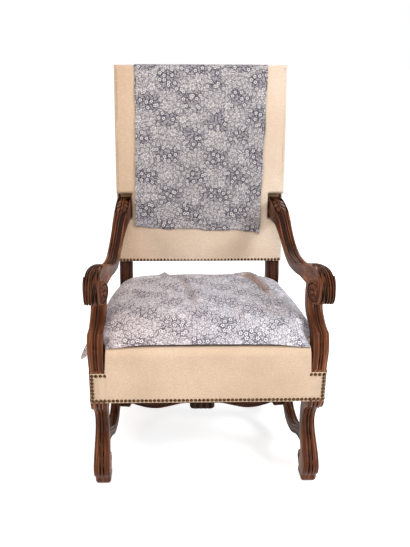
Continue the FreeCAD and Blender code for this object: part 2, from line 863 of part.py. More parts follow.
def arm_stations():
    """The arm from above: share of the way forward, middle line and width."""
    inward = arm_dip_x - arm_rear_x
    outward = scroll_x - arm_dip_x
    return [
        (0.0, arm_rear_x, arm_rear_width),
        (0.05, arm_rear_x, arm_rear_width),
        (0.1, arm_rear_x, arm_rear_width),
        (0.15, arm_rear_x + 0.15 * inward, arm_rear_width),
        (0.23, arm_rear_x + 0.55 * inward, arm_width),
        (0.31, arm_rear_x + 0.85 * inward, arm_width),
        (0.42, arm_rear_x + 0.95 * inward, arm_width),
        (0.53, arm_dip_x, arm_width),
        (0.62, arm_dip_x + 0.23 * outward, arm_width),
        (0.72, arm_dip_x + 0.5 * outward, arm_width),
        (0.81, arm_dip_x + 0.77 * outward, 0.5 * (arm_width + scroll_width)),
        (0.89, arm_dip_x + 0.93 * outward, scroll_width),
        (1.0, arm_dip_x + 1.03 * outward, scroll_width),
    ]


def arm_plan_edges():
    """Plan outline of an arm: it spreads outwards and widens at the scroll."""
    end_y = arm_end_y()
    front_y = -scroll_overhang - 4.0
    inner = []
    outer = []
    for share, middle, width in arm_stations():
        y = end_y + (front_y - end_y) * share
        inner.append((middle - width / 2.0, y))
        outer.append((middle + width / 2.0, y))
    ends = chain(plan_points([inner[0], outer[0]])) + chain(plan_points([inner[-1], outer[-1]]))
    return [curve(plan_points(inner)), curve(plan_points(outer))] + ends


def arm_tenon(grow):
    """The tenon at the rear of the right arm, in the post."""
    y, z = raked(frame_front, rise_at(arm_rear_height))
    reach = tenon_length + grow
    half = 18.0 + grow
    x = arm_rear_x
    return box(x - 6.0 - grow, y - 14.0, z - half, x + 6.0 + grow, y + reach, z + half)


def arm_screw_hole():
    """The hole for the screw that draws the right arm to its post, with its head's pocket."""
    y, z = arm_screw_place()
    shank = Part.makeCylinder(screw_radius + peg_gap, 2.0 * screw_length, V(arm_rear_x, y, z), V(0, -1, 0))
    pocket = Part.makeCylinder(screw_head_radius + 1.0, back_frame_depth, V(arm_rear_x, y, z), V(0, 1, 0))
    return shank.fuse(pocket)


def arm_screw_place():
    """Where an arm screw's head bears inside the rear of the post."""
    y, z = raked(frame_rear - 8.0, rise_at(arm_rear_height))
    return y, z


def make_arm_screws():
    """One long screw on each side, from the back of the post into the arm."""
    y, z = arm_screw_place()
    length = 2.0 * screw_length - 4.0
    shank = Part.makeCylinder(screw_radius, length, V(arm_rear_x, y, z), V(0, -1, 0))
    head = Part.makeCylinder(screw_head_radius, 2.5, V(arm_rear_x, y, z), V(0, 1, 0))
    slot = box(arm_rear_x - far, y + 1.2, z - 0.6, arm_rear_x + far, y + 2.6, z + 0.6)
    screw = shank.fuse(head).cut(slot).removeSplitter().Solids[0]
    return Part.makeCompound([screw, mirrored(screw)])


def make_arm():
    """The right arm with its scroll, tenon and dowel hole."""
    side = prism(arm_side_edges(), V(seat_front_width, 0, 0))
    plan = prism(arm_plan_edges(), V(0, 0, 2.0 * arm_rear_height))
    arm = side.common(plan)
    post_face = raked_box(-far, frame_front - cloth_gap, -far, far, far, far)
    arm = arm.cut(post_face).fuse(arm_tenon(0.0))
    return one_solid(cut_all(arm, [arm_dowel(peg_gap), arm_screw_hole()]))


def make_arm_support(arm):
    """The right arm support, scribed to the underside of its arm."""
    side = prism(support_side_edges(), V(seat_front_width, 0, 0))
    front = prism(support_front_edges(), V(0, seat_depth, 0))
    front.translate(V(0, -leg_sweep, 0))
    support = side.common(front)
    lower = arm.copy()
    lower.translate(V(0, 0, -cloth_gap))
    support = support.cut(arm).cut(lower)
    support = min(support.Solids, key=lambda solid: solid.CenterOfMass.z)
    support = support.fuse(support_tenon(0.0))
    return one_solid(support.cut(arm_dowel(peg_gap)))


# Back rails

def back_rail_rises():
    """Bottom and top of the lower and the upper back rail, along the back."""
    top = panel_height - wood_inset - 2.0
    return [(2.0, 2.0 + back_rail_height), (top - back_rail_height, top)]


def back_rail_tenons(rises, grow):
    """Both tenons of a back rail."""
    rise0 = rises[0] + tenon_shoulder - grow
    rise1 = rises[1] - tenon_shoulder + grow
    depth0 = frame_front + 10.0 - grow
    depth1 = frame_front + 10.0 + tenon_thickness + grow
    right = raked_box(post_inner_x, depth0, rise0, post_inner_x + tenon_length + grow, depth1, rise1)
    return [right, mirrored(right)]


def back_rail_pegs(grow):
    """The pegs through the right-hand tenons of the back rails."""
    pegs = []
    for rise0, rise1 in back_rail_rises():
        for share in (0.38, 0.62):
            y, z = raked(frame_rear, rise0 + share * (rise1 - rise0))
            way = V(0, -math.cos(rake), math.sin(rake))
            start = V(post_inner_x + tenon_length / 2.0, y, z)
            pegs.append(Part.makeCylinder(peg_radius + grow, back_frame_depth - 4.0, start, way))
    return pegs


def make_back_rail(rises):
    """A straight rail between the back posts."""
    depth1 = frame_front + back_rail_thickness
    rail = raked_box(-post_inner_x, frame_front, rises[0], post_inner_x, depth1, rises[1])
    rail = rail.fuse(back_rail_tenons(rises, 0.0))
    pegs = back_rail_pegs(peg_gap)
    return one_solid(cut_all(rail, pegs + [mirrored(peg) for peg in pegs]))


def make_pegs(pegs):
    """Pegs of the right side and the same on the left."""
    return Part.makeCompound(pegs + [mirrored(peg) for peg in pegs])


# Seat upholstery

def support_notch(grow):
    """The room left for both arm supports at the seat's front corners, slanting back as they do."""
    inner = leg_outer_x - support_width - cloth_gap - 2.0 - grow
    low_y = wood_inset + support_depth + 2.0 + grow
    high_y = support_depth + 0.2 * support_sweep + 0.5 + grow
    outline = [(-far, rail_top), (low_y, rail_top), (high_y, seat_top), (high_y, far), (-far, far)]
    right = polygon_prism(side_points(outline, inner), V(far, 0, 0))
    return [right, mirrored(right)]


def post_notch(grow):
    """The room left for both rear posts at the seat's rear corners, grown above the rails only."""
    inner = post_inner_x - cloth_gap
    front = post_front_y - cloth_gap
    low = box(inner, front, 0, far, far, far)
    high = box(inner - grow, front - grow, rail_top + cloth_gap, far, far, far)
    return [low, high, mirrored(low), mirrored(high)]


def seat_body(inset, bottom):
    """The stuffed seat's whole outer form, smaller by the inset, with rounded top edges."""
    body = seat_prism(inset, bottom, seat_top - inset)
    top_edges = [edge for edge in body.Edges if min(v.Point.z for v in edge.Vertexes) > seat_top - inset - 0.1]
    return body.makeFillet(seat_shoulder - inset, top_edges)


def make_seat_cover():
    """The linen skin over the seat and down its rails, cut round supports and posts."""
    outer = cut_all(seat_body(0.0, rail_bottom), support_notch(0.0) + post_notch(0.0))
    inner = seat_body(cover_thickness, 0.0)
    inner = cut_all(inner, support_notch(cover_thickness) + post_notch(cover_thickness))
    return one_solid(outer.cut(inner))


def seat_inner_space(z0, z1):
    """The room inside the cover between two heights, clear of supports and posts."""
    body = seat_body(wood_inset, 0.0).common(box(-far, -far, z0, far, far, z1))
    return cut_all(body, support_notch(wood_inset) + post_notch(wood_inset))


def web_levels():
    """Heights of the undersides of lengthwise webs, crosswise webs, hessian and stuffing."""
    first = rail_top + cloth_gap
    second = first + web_thickness + cloth_gap
    third = second + web_thickness + cloth_gap
    fourth = third + hessian_thickness + cloth_gap
    return first, second, third, fourth


def make_seat_pad():
    """The stuffing, crowned over the hessian."""
    return one_solid(seat_inner_space(web_levels()[3], seat_top))


def make_seat_hessian():
    """The sheet between webbing and stuffing, inside the rails' outer edges."""
    level = web_levels()[2]
    sheet = seat_prism(rail_thickness * 0.5, level, level + hessian_thickness)
    return one_solid(cut_all(sheet, support_notch(wood_inset) + post_notch(wood_inset)))


def make_seat_webs_lengthwise():
    """Straps from the front rail to the rear rail."""
    level = web_levels()[0]
    count = 5
    spread = 2.0 * post_inner_x - web_width - 20.0
    straps = []
    for i in range(count):
        x = -spread / 2.0 + spread * i / (count - 1)
        front = wood_inset + 5.0
        rear = seat_depth - wood_inset - 5.0
        straps.append(box(x - web_width / 2.0, front, level, x + web_width / 2.0, rear, level + web_thickness))
    return Part.makeCompound(straps)


def make_seat_webs_crosswise():
    """Straps from side rail to side rail, over the lengthwise ones."""
    level = web_levels()[1]
    count = 5
    front = leg_back_y + 45.0
    rear = post_front_y - 45.0
    straps = []
    for i in range(count):
        y = front + (rear - front) * i / (count - 1)
        reach = half_width(y + web_width / 2.0, wood_inset + 5.0)
        straps.append(box(-reach, y - web_width / 2.0, level, reach, y + web_width / 2.0, level + web_thickness))
    return Part.makeCompound(straps)


def make_dust_cloth():
    """The thin cloth under the seat."""
    top = rail_bottom - cloth_gap
    sheet = seat_prism(dust_cloth_inset, top - hessian_thickness, top)
    legs = box(leg_inner_x - 4.0, -far, 0, far, leg_back_y + 4.0, far)
    posts = box(post_inner_x - 4.0, post_front_y - 4.0, 0, far, far, far)
    return one_solid(cut_all(sheet, [legs, mirrored(legs), posts, mirrored(posts)]))


# Back upholstery

def front_depth(rise, offset=0.0):
    """Depth of the panel's bulged front face at a rise, further forward by the offset."""
    half = panel_height / 2.0
    radius = (half * half + panel_bulge ** 2) / (2.0 * panel_bulge)
    reach = math.sqrt((radius + offset) ** 2 - (rise - half) ** 2)
    return radius - panel_bulge - reach


def panel_prism(offset, depth, low_rise, half):
    """The back panel's form, bulged in front, larger by the offset on its free sides."""
    high_rise = panel_height + offset
    rises = (low_rise, (low_rise + high_rise) / 2.0, high_rise)
    low, middle, high = [V(-half, *raked(front_depth(rise, offset), rise)) for rise in rises]
    front = Part.Arc(low, middle, high).toShape()
    rest = [V(-half, *raked(depth, high_rise)), V(-half, *raked(depth, low_rise))]
    solid = prism([front] + chain([high] + rest + [low]), V(2.0 * half, 0, 0))
    edges = [edge for edge in solid.Edges if front_edge(edge, high, half)]
    return solid.makeFillet(panel_edge_radius + offset, edges)


def front_edge(edge, high, half):
    """Whether an edge runs round the panel's front face, at its sides or along its top."""
    middle = edge.valueAt((edge.FirstParameter + edge.LastParameter) / 2.0)
    at_top = abs(middle.y - high.y) < 0.1 and abs(middle.z - high.z) < 0.1
    at_side = abs(abs(middle.x) - half) < 0.1 and edge.Curve.TypeId == "Part::GeomCircle"
    return at_top or at_side


def arm_notch(grow):
    """The room in the back's padding for the rear ends of both arms."""
    low = arm_rear_height - 0.5 * arm_rear_block - cloth_gap - grow
    high = arm_rear_height + 0.54 * arm_rear_block + cloth_gap + grow
    inner = arm_rear_x - arm_rear_width / 2.0 - arm_notch_gap - grow
    outer = arm_rear_x + arm_rear_width / 2.0 + arm_notch_gap + grow
    right = box(inner, -far, low, outer, raked(frame_front, rise_at(high))[0] + 2.0, high)
    return [right, mirrored(right)]


def make_back_front_cover():
    """The linen skin over the front, sides and top of the back."""
    half = panel_width / 2.0
    outer = panel_prism(0.0, frame_rear, 0.0, half)
    inner = panel_prism(-cover_thickness, panel_depth, -panel_edge_radius, half - cover_thickness)
    return one_solid(cut_all(outer.cut(inner), arm_notch(0.0)))


def make_back_pad():
    """The stuffing behind the front cover."""
    half = panel_width / 2.0 - wood_inset
    pad = panel_prism(-wood_inset, pad_edge, wood_inset, half)
    return one_solid(cut_all(pad, arm_notch(wood_inset)))


def make_back_hessian():
    """The sheet behind the stuffing, tacked to the back frame."""
    depth0 = pad_edge + cloth_gap
    half = post_outer_x - 8.0
    sheet = raked_box(-half, depth0, 4.0, half, depth0 + hessian_thickness, panel_height - wood_inset - 6.0)
    return one_solid(cut_all(sheet, arm_notch(wood_inset)))


def back_web_depths():
    """Depths of the fronts of the level and the upright straps."""
    level = pad_edge + cloth_gap + hessian_thickness + cloth_gap
    return level, level + web_thickness + cloth_gap


def make_back_webs_level():
    """Straps from post to post, above and below the arms."""
    depth = back_web_depths()[0]
    arm_low = rise_at(arm_rear_height - arm_rear_block)
    arm_high = rise_at(arm_rear_height + arm_rear_block)
    half = post_outer_x - 10.0
    count = 4
    last = panel_height - back_rail_height
    rises = [arm_low - web_width]
    rises += [arm_high + (last - web_width - arm_high) * i / (count - 1) for i in range(count)]
    straps = [raked_box(-half, depth, rise, half, depth + web_thickness, rise + web_width) for rise in rises]
    return Part.makeCompound(straps)


def make_back_webs_upright():
    """Straps from the lower to the upper back rail, behind the level ones."""
    depth = back_web_depths()[1]
    low = 8.0
    high = panel_height - wood_inset - 10.0
    count = 4
    spread = 2.0 * post_inner_x - web_width - 30.0
    straps = []
    for i in range(count):
        x = -spread / 2.0 + spread * i / (count - 1)
        straps.append(raked_box(x - web_width / 2.0, depth, low, x + web_width / 2.0, depth + web_thickness, high))
    return Part.makeCompound(straps)


def make_back_rear_cover():
    """The flat linen sheet over the rear of the back frame."""
    half = panel_width / 2.0
    return raked_box(-half, frame_rear + cloth_gap, 0.0, half, panel_depth, panel_height)


# Nails

def nail(place, way):
    """One domed nail head, standing on its place and facing its way."""
    sphere = (nail_radius ** 2 + nail_height ** 2) / (2.0 * nail_height)
    lowest = math.degrees(math.asin((sphere - nail_height) / sphere))
    centre = place - way * (sphere - nail_height)
    return Part.makeSphere(sphere, centre, way, lowest, 90.0, 360.0)


def nail_row(start, end, way, skip_first=False, skip_last=False):
    """Nails at an even pitch from start to end."""
    count = max(2, int(round((end - start).Length / nail_pitch)) + 1)
    first = 1 if skip_first else 0
    last = count - 1 if skip_last else count
    return [nail(start + (end - start) * (i / (count - 1.0)), way) for i in range(first, last)]


def make_seat_nails():
    """Nails along the seat cover's lower edge, up its front corners and under the supports."""
    front_way = V(0, -1, 0)
    side_way = V(math.cos(math.atan(seat_slant)), math.sin(math.atan(seat_slant)), 0)
    low = rail_bottom + nail_margin
    high = rail_top - nail_margin
    edge = seat_front_width / 2.0 - nail_margin
    ledge = leg_outer_x - support_width
    nails = nail_row(V(-edge, 0, low), V(edge, 0, low), front_way)
    rear = post_front_y - nail_margin
    for side in (1.0, -1.0):
        nails += nail_row(V(side * edge, 0, low), V(side * edge, 0, high), front_way, True)
        nails += nail_row(V(side * edge, 0, high), V(side * ledge, 0, high), front_way, True)
        way = V(side * side_way.x, side_way.y, 0)
        start = V(side * half_width(nail_margin), nail_margin, low)
        end = V(side * half_width(rear), rear, low)
        nails += nail_row(start, end, way)
    return Part.makeCompound(nails)


def make_seat_rear_nails():
    """Nails along the lower edge of the cover on the rear rail."""
    low = rail_bottom + nail_margin
    edge = post_inner_x - nail_margin - 2.0
    return Part.makeCompound(nail_row(V(-edge, seat_depth, low), V(edge, seat_depth, low), V(0, 1, 0)))


def raked_vector(x, depth, rise):
    """A point of the leaning back as a vector."""
    y, z = raked(depth, rise)
    return V(x, y, z)


def make_back_front_nails():
    """The row along the bottom of the back's front cover."""
    rise = nail_margin
    depth = front_depth(rise)
    edge = panel_width / 2.0 - nail_margin - 3.0
    slope = rake + math.atan(front_depth(rise + 1.0) - depth)
    way = V(0, -math.cos(slope), math.sin(slope))
    row = nail_row(raked_vector(-edge, depth, rise), raked_vector(edge, depth, rise), way)
    return Part.makeCompound(row)


def make_back_rear_nails():
    """The rows all round the back's rear cover."""
    low = nail_margin
    high = panel_height - nail_margin
    edge = panel_width / 2.0 - nail_margin
    way = V(0, math.cos(rake), -math.sin(rake))
    a = raked_vector(-edge, panel_depth, low)
    b = raked_vector(edge, panel_depth, low)
    c = raked_vector(edge, panel_depth, high)
    d = raked_vector(-edge, panel_depth, high)
    nails = nail_row(a, b, way) + nail_row(b, c, way, True) + nail_row(d, a, way, False, True)
    open_edge = cloth_width / 2.0 + 10.0
    e = raked_vector(open_edge, panel_depth, high)
    f = raked_vector(-open_edge, panel_depth, high)
    nails += nail_row(c, e, way, True) + nail_row(f, d, way, False, True)
    return Part.makeCompound(nails)


# Loose cushion and draped cloth

def cushion_wire(scale, z):
    """The cushion's outline at one height: drawn-in front and rear, notched at the supports."""
    middle_y = (cushion_front_y + cushion_rear_y) / 2.0
    front = cushion_front_y
    rear = cushion_rear_y
    step_y = wood_inset + 2.3 * support_depth
    front_half = cushion_front_width / 2.0
    side_half = cushion_width / 2.0
    rear_half = cushion_rear_width / 2.0

    def at(x, y):
        return V(x * scale, middle_y + (y - middle_y) * scale, z)

    step = at(front_half + 1.5, step_y)
    corner = at(front_half, front)
    side = at(side_half, middle_y + 20.0)
    rear_corner = at(rear_half, rear)
    edges = [
        Part.Arc(mirrored_point(corner), at(0, front + 5.0), corner).toShape(),
        Part.makeLine(corner, step),
        Part.Arc(step, side, rear_corner).toShape(),
        Part.Arc(rear_corner, at(0, rear - 9.0), mirrored_point(rear_corner)).toShape(),
        Part.Arc(mirrored_point(rear_corner), mirrored_point(side), mirrored_point(step)).toShape(),
        Part.makeLine(mirrored_point(step), mirrored_point(corner)),
    ]
    return Part.Wire(edges)


def mirrored_point(point):
    """The same point on the other side of the chair."""
    return V(-point.x, point.y, point.z)


def make_seat_cushion():
    """The loose cushion: thin sewn edge, high crown, flat where it rests on the seat."""
    base = seat_top + cloth_gap
    seam = base + cushion_seam_height
    crown = cushion_thickness - cushion_seam_height
    wires = [cushion_wire(0.93, base), cushion_wire(0.985, base + 0.5 * cushion_seam_height)]
    steps = 9
    for i in range(steps + 1):
        share = i / float(steps)
        scale = 1.0 - 0.84 * share ** 1.25
        rise = math.sqrt(1.0 - (1.0 - (1.0 - scale) / 0.84) ** 2.2)
        wires.append(cushion_wire(scale, seam + crown * rise))
    return Part.makeLoft(wires, True, True).Solids[0]


def make_back_cloth():
    """The cloth over the back: front drop, turn over the top, rear drop, one side drifting in."""
    half = cloth_width / 2.0
    outer_offset = cloth_gap + cloth_thickness
    inner = panel_prism(cloth_gap, panel_depth + cloth_gap, -panel_edge_radius, panel_width)
    outer = panel_prism(outer_offset, panel_depth + outer_offset, 0.0, panel_width)
    sheet = outer.cut(inner).common(box(-half, 0, 0, half, far, far))
    front_edge_rise = panel_height - cloth_front_drop
    rear_edge_rise = panel_height - cloth_rear_drop
    middle = panel_depth / 2.0
    sheet = sheet.cut(slanted_hem(front_edge_rise, middle))
    sheet = sheet.cut(raked_box(-far, middle, -far, far, far, rear_edge_rise))
    return one_solid(sheet.cut(cloth_drift_wedge(front_edge_rise)))


def slanted_hem(rise, depth):
    """What is taken off below the front drop, whose hem hangs lower on the right."""
    half = cloth_width / 2.0
    left_z = raked(0.0, rise)[1]
    right_z = left_z - cloth_slant
    corners = [(-half - 1.0, left_z), (half + 1.0, right_z), (half + 1.0, 0.0), (-half - 1.0, 0.0)]
    return polygon_prism(front_points(corners), V(0, raked(depth, rise)[0], 0))


def cloth_drift_wedge(low_rise):
    """What is taken off the right of the front drop, so that its edge drifts inwards."""
    half = cloth_width / 2.0
    low = raked(0.0, low_rise)[1]
    high = raked(0.0, panel_height)[1] - 40.0
    beyond = half + 2.0 * cloth_drift
    under = low - 2.0 * cloth_drift
    corners = [(half - cloth_drift, under), (beyond, under), (beyond, high), (half, high)]
    wedge = polygon_prism(front_points(corners), V(0, raked(panel_depth / 2.0, panel_height)[0], 0))
    wedge.translate(V(0, -1.0, 0))
    return wedge


# Every node, with the right-hand pieces repeated on the left

def build():
    """Makes each piece under its node's name."""
    nodes = {}
    front_leg = make_front_leg()
    rear_post = make_rear_post()
    arm = make_arm()
    pairs = {
        "front_leg": front_leg,
        "rear_post": rear_post,
        "side_rail": make_side_rail(),
        "side_stretcher": make_side_stretcher(front_leg, rear_post),
        "cross_stretcher": make_cross_stretcher(),
        "arm": arm,
        "arm_support": make_arm_support(arm),
    }
    for name, shape in pairs.items():
        nodes[name + "_right"] = shape
        nodes[name + "_left"] = mirrored(shape)
    lower_rail, upper_rail = back_rail_rises()
    nodes["front_rail"] = make_front_rail()
    nodes["rear_rail"] = make_rear_rail()
    nodes["corner_blocks"] = make_corner_blocks()
    nodes["corner_screws"] = make_corner_screws()
    nodes["stretcher_boss"] = make_boss()
    nodes["back_bottom_rail"] = make_back_rail(lower_rail)
    nodes["back_top_rail"] = make_back_rail(upper_rail)
    nodes["rail_pegs"] = make_pegs(rail_pegs(0.0))
    nodes["stretcher_pegs"] = make_pegs(stretcher_pegs(0.0))
    nodes["back_rail_pegs"] = make_pegs(back_rail_pegs(0.0))
    nodes["arm_dowels"] = make_pegs([arm_dowel(0.0)])
    nodes["arm_screws"] = make_arm_screws()
    nodes["seat_webs_lengthwise"] = make_seat_webs_lengthwise()
    nodes["seat_webs_crosswise"] = make_seat_webs_crosswise()
    nodes["seat_hessian"] = make_seat_hessian()
    nodes["seat_pad"] = make_seat_pad()
    nodes["seat_cover"] = make_seat_cover()
    nodes["seat_nails"] = make_seat_nails()
    nodes["seat_rear_nails"] = make_seat_rear_nails()
    nodes["dust_cloth"] = make_dust_cloth()
    nodes["back_webs_level"] = make_back_webs_level()
    nodes["back_webs_upright"] = make_back_webs_upright()
    nodes["back_hessian"] = make_back_hessian()
    nodes["back_pad"] = make_back_pad()
    nodes["back_front_cover"] = make_back_front_cover()
    nodes["back_rear_cover"] = make_back_rear_cover()
    nodes["back_front_nails"] = make_back_front_nails()
    nodes["back_rear_nails"] = make_back_rear_nails()
    nodes["seat_cushion"] = make_seat_cushion()
    nodes["back_cloth"] = make_back_cloth()
    return nodes


def middle_depth(nodes):
    """Half way between the chair's foremost and rearmost points."""
    front = min(shape.BoundBox.YMin for shape in nodes.values())
    rear = max(shape.BoundBox.YMax for shape in nodes.values())
    return (front + rear) / 2.0


def main():
    """Writes one file for each node."""
    nodes = build()
    shift = V(0, -middle_depth(nodes), 0)
    os.makedirs("parts", exist_ok=True)
    for name, shape in nodes.items():
        piece = shape.copy()
        piece.translate(shift)
        piece.exportStep("parts/" + name + ".step")
        print(name, "solids", len(piece.Solids), "valid", piece.isValid(), "volume", round(piece.Volume))
    print("moved forward by", round(-shift.y, 3))


main()
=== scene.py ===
"""An upholstered armchair with carved legs and arms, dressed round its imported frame.

The CAD stays in place. Each visible solid gets a carved, upholstered or printed piece that stands
for it, and each hidden one a finish of its own.
"""

import math

import bpy
import numpy as np
from mathutils import Matrix, Vector


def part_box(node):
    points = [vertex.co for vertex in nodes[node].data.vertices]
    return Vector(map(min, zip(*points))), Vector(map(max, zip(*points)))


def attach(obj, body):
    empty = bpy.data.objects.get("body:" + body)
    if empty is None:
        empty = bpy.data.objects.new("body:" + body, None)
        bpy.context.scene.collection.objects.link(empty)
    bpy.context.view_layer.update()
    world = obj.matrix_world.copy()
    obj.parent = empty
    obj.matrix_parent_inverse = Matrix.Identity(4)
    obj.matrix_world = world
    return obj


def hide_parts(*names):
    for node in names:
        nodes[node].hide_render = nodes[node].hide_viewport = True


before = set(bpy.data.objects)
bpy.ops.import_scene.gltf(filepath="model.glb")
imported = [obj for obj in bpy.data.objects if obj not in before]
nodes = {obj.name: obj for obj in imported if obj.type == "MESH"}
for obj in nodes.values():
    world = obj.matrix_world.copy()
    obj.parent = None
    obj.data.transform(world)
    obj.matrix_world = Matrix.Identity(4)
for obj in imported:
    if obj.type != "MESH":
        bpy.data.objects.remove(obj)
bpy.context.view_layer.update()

# Places are written in millimetres: X to the right, Y back from the seat's front, Z up.
mm = 0.001
front_shift = -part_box("seat_cover")[0][1]

seat_depth = 578
seat_front_half, seat_rear_half = 320, 271
cover_low, cover_top = 271, 430         # lower edge of the seat's cover, and its top
ledge = 360.2                           # where the cover is tucked round supports and posts
block_low, block_top = 268, 359.5
leg_inner, leg_outer, leg_depth = 272.5, 320.5, 49.8
leg_sweep = 87
post_inner, post_outer, post_depth = 228, 271, 45
post_x, post_width = 249.5, 43
post_front, post_back = 533, 576.2
panel_half, panel_high, panel_deep = 275, 629, 60.7
panel_y, panel_z, rake = 530.5, 508, math.radians(7.64)
stretcher_y = 291.4
stretcher_share = 0.46                  # place of the side stretchers across the legs
cloth_half, front_drop, rear_drop = 212, 512, 330
skin = 0.16                             # flat coordinates round a carved bar, in metres


def in_frame(points):
    """Points in millimetres from the seat's front, as metres in the row frame."""
    points = np.array(points, float) * mm
    points[..., 1] -= front_shift
    return points


def mesh_object(name, parts, sharp=None):
    """A smooth mesh of points in millimetres, with flat coordinates and per point an amount of painted
    shade, the carved depth on carved wood.
    """
    vertices, faces, uvs, painted_shade = parts
    mesh = bpy.data.meshes.new(name)
    mesh.from_pydata(in_frame(vertices).tolist(), [], faces)
    mesh.validate()
    corners = np.empty(len(mesh.loops), dtype=np.int32)
    mesh.loops.foreach_get("vertex_index", corners)
    mesh.uv_layers.new(name="flat").data.foreach_set("uv", np.array(uvs, float)[corners].ravel())
    mesh.attributes.new("painted_shade", "FLOAT", "POINT").data.foreach_set("value", np.array(painted_shade, float))
    mesh.polygons.foreach_set("use_smooth", [True] * len(mesh.polygons))
    if sharp is not None:
        mesh.set_sharp_from_angle(angle=math.radians(sharp))
    mesh.update()
    made = bpy.data.objects.new(name, mesh)
    bpy.context.scene.collection.objects.link(made)
    return made


def mirror_of(parts):
    """The same mesh data on the other side of the chair."""
    vertices, faces, uvs, painted_shade = parts
    return np.array(vertices, float) * (-1, 1, 1), [tuple(reversed(f)) for f in faces], uvs, painted_shade


def joined(*groups):
    """Several groups of mesh data as one."""
    vertices, faces, uvs, painted_shade = zip(*groups)
    starts = np.cumsum([0] + [len(v) for v in vertices]).tolist()
    faces = [tuple(i + start for i in face) for start, group in zip(starts, faces) for face in group]
    return np.vstack(vertices), faces, np.vstack(uvs), np.concatenate(painted_shade)


def grid_faces(rows, columns, closed=False, start=0, turned=False):
    """Quads over points numbered row by row from start; closed joins the ends of each row."""
    faces = []
    for i in range(rows - 1):
        for j in range(columns if closed else columns - 1):
            a = start + i * columns + j
            b = start + i * columns + (j + 1) % columns
            c, d = b + columns, a + columns
            faces.append((a, d, c, b) if turned else (a, b, c, d))
    return faces


def grid_edge(rows, columns):
    """The (column, row) pairs round the edge of a grid."""
    edge = [(i, 0) for i in range(columns)] + [(columns - 1, j) for j in range(1, rows)]
    edge += [(i, rows - 1) for i in range(columns - 2, -1, -1)]
    return edge + [(0, j) for j in range(rows - 2, 0, -1)]


def run_lengths(points):
    """Length along a line of points, at each of them."""
    return np.concatenate([[0], np.cumsum(np.linalg.norm(np.diff(points, axis=0), axis=1))])


def through(rows, steps):
    """Rows on a smooth curve through the given rows, with that many steps between neighbours."""
    p = np.array(rows, float)
    gap = np.maximum(np.linalg.norm(np.diff(p, axis=0), axis=1), 1e-6)
    slope = np.diff(p, axis=0) / gap[:, None]
    tangent = np.empty_like(p)
    weights = (gap[:-1] + gap[1:])[:, None]
    tangent[1:-1] = (slope[1:] * gap[:-1, None] + slope[:-1] * gap[1:, None]) / weights
    tangent[0], tangent[-1] = slope[0], slope[-1]
    t = np.linspace(0, 1, steps, endpoint=False)[:, None]
    out = []
    for i, h in enumerate(gap):
        out.append((2 * t**3 - 3 * t**2 + 1) * p[i] + (t**3 - 2 * t**2 + t) * h * tangent[i]
                   + (3 * t**2 - 2 * t**3) * p[i + 1] + (t**3 - t**2) * h * tangent[i + 1])
    out.append(p[-1:])
    return np.vstack(out)


def step(x, low, high):
    """A smooth rise from 0 at low to 1 at high."""
    t = np.clip((x - low) / (high - low), 0, 1)
    return t * t * (3 - 2 * t)


def fall(x, low, high):
    """A smooth drop from 1 at low to 0 at high."""
    return 1 - step(x, low, high)


def dip(a, centre, half, power=2):
    """A rounded furrow: 1 at its centre, 0 at its edges."""
    return 1 - np.clip(np.abs(a - centre) / half, 0, 1) ** power


# Carved wood: a section carried along a path, moulded on its faces

def moulded(stations, face=None, back=None, inner=None, outer=None, counts=(40, 8, 12), radius=4,
            across=(1, 0, 0)):
    """A bar from stations of face point, back point and width, each side carved by its function.

    A function takes the share across the side and the share along the bar, and gives millimetres
    outwards. The counts are the points across the face, each flank and the back.
    """
    rows, across = np.array(stations, float), np.array(across, float)
    a, b, width = rows[:, 0:3], rows[:, 3:6], rows[:, 6]
    thick = np.linalg.norm(a - b, axis=1)
    out = (a - b) / thick[:, None]
    length = run_lengths((a + b) / 2)
    along = length / length[-1]
    r = np.minimum(radius, 0.3 * np.minimum(width, thick))
    face_points, flank_points, back_points = counts
    points = []

    def side(count, start, end, normal, carve):
        for s in np.linspace(0, 1, count):
            w = start[0] + (end[0] - start[0]) * s
            d = start[1] + (end[1] - start[1]) * s
            lift = np.zeros_like(w) if carve is None else carve(np.full_like(along, s), along)
            # the carved depth is kept as the amount of painted shade in the hollows
            points.append((w + normal[0] * lift, d + normal[1] * lift, np.clip(-lift, 0, 9)))

    def corner(w, d, start):
        for s in np.linspace(0, 1, 4)[1:-1]:
            angle = start - s * math.pi / 2
            points.append((w + r * math.cos(angle), d + r * math.sin(angle), zero))

    zero = 0 * r
    side(face_points, (r, thick), (width - r, thick), (0, 1), face)
    corner(width - r, thick - r, math.pi / 2)
    side(flank_points, (width + zero, thick - r), (width + zero, r), (1, 0), outer)
    corner(width - r, r, 0)
    side(back_points, (width - r, zero), (r, zero), (0, -1), back)
    corner(r, r, -math.pi / 2)
    side(flank_points, (zero, r), (zero, thick - r), (-1, 0), inner)
    corner(r, thick - r, math.pi)

    w, d, carved = (np.stack(values, axis=1) for values in zip(*points))
    place = b[:, None, :] + across * (w - width[:, None] / 2)[..., None] + out[:, None, :] * d[..., None]
    count, loop = w.shape
    around = np.linspace(0, 1, loop) * skin
    uv = np.stack(np.broadcast_arrays(around[None, :], (length * mm)[:, None]), axis=-1).reshape(-1, 2)
    uv = np.vstack([uv, [[0.1, 0], [0.1, length[-1] * mm]]])
    vertices = np.vstack([place.reshape(-1, 3), [place[0].mean(axis=0), place[-1].mean(axis=0)]])
    faces = grid_faces(count, loop, closed=True)
    first, final_row = count * loop, (count - 1) * loop
    for j in range(loop):
        k = (j + 1) % loop
        faces += [(first, k, j), (first + 1, final_row + j, final_row + k)]
    middle = count // 2
    if np.dot(np.cross(across, out[middle]), (a + b)[middle + 1] - (a + b)[middle]) < 0:
        faces = [tuple(reversed(f)) for f in faces]
    return vertices, faces, uv, np.concatenate([carved.ravel(), [0, 0]])


def station(x, front, back, width):
    """A station whose face point and back point, as (Y, Z), share one X."""
    return (x, *front, x, *back, width)


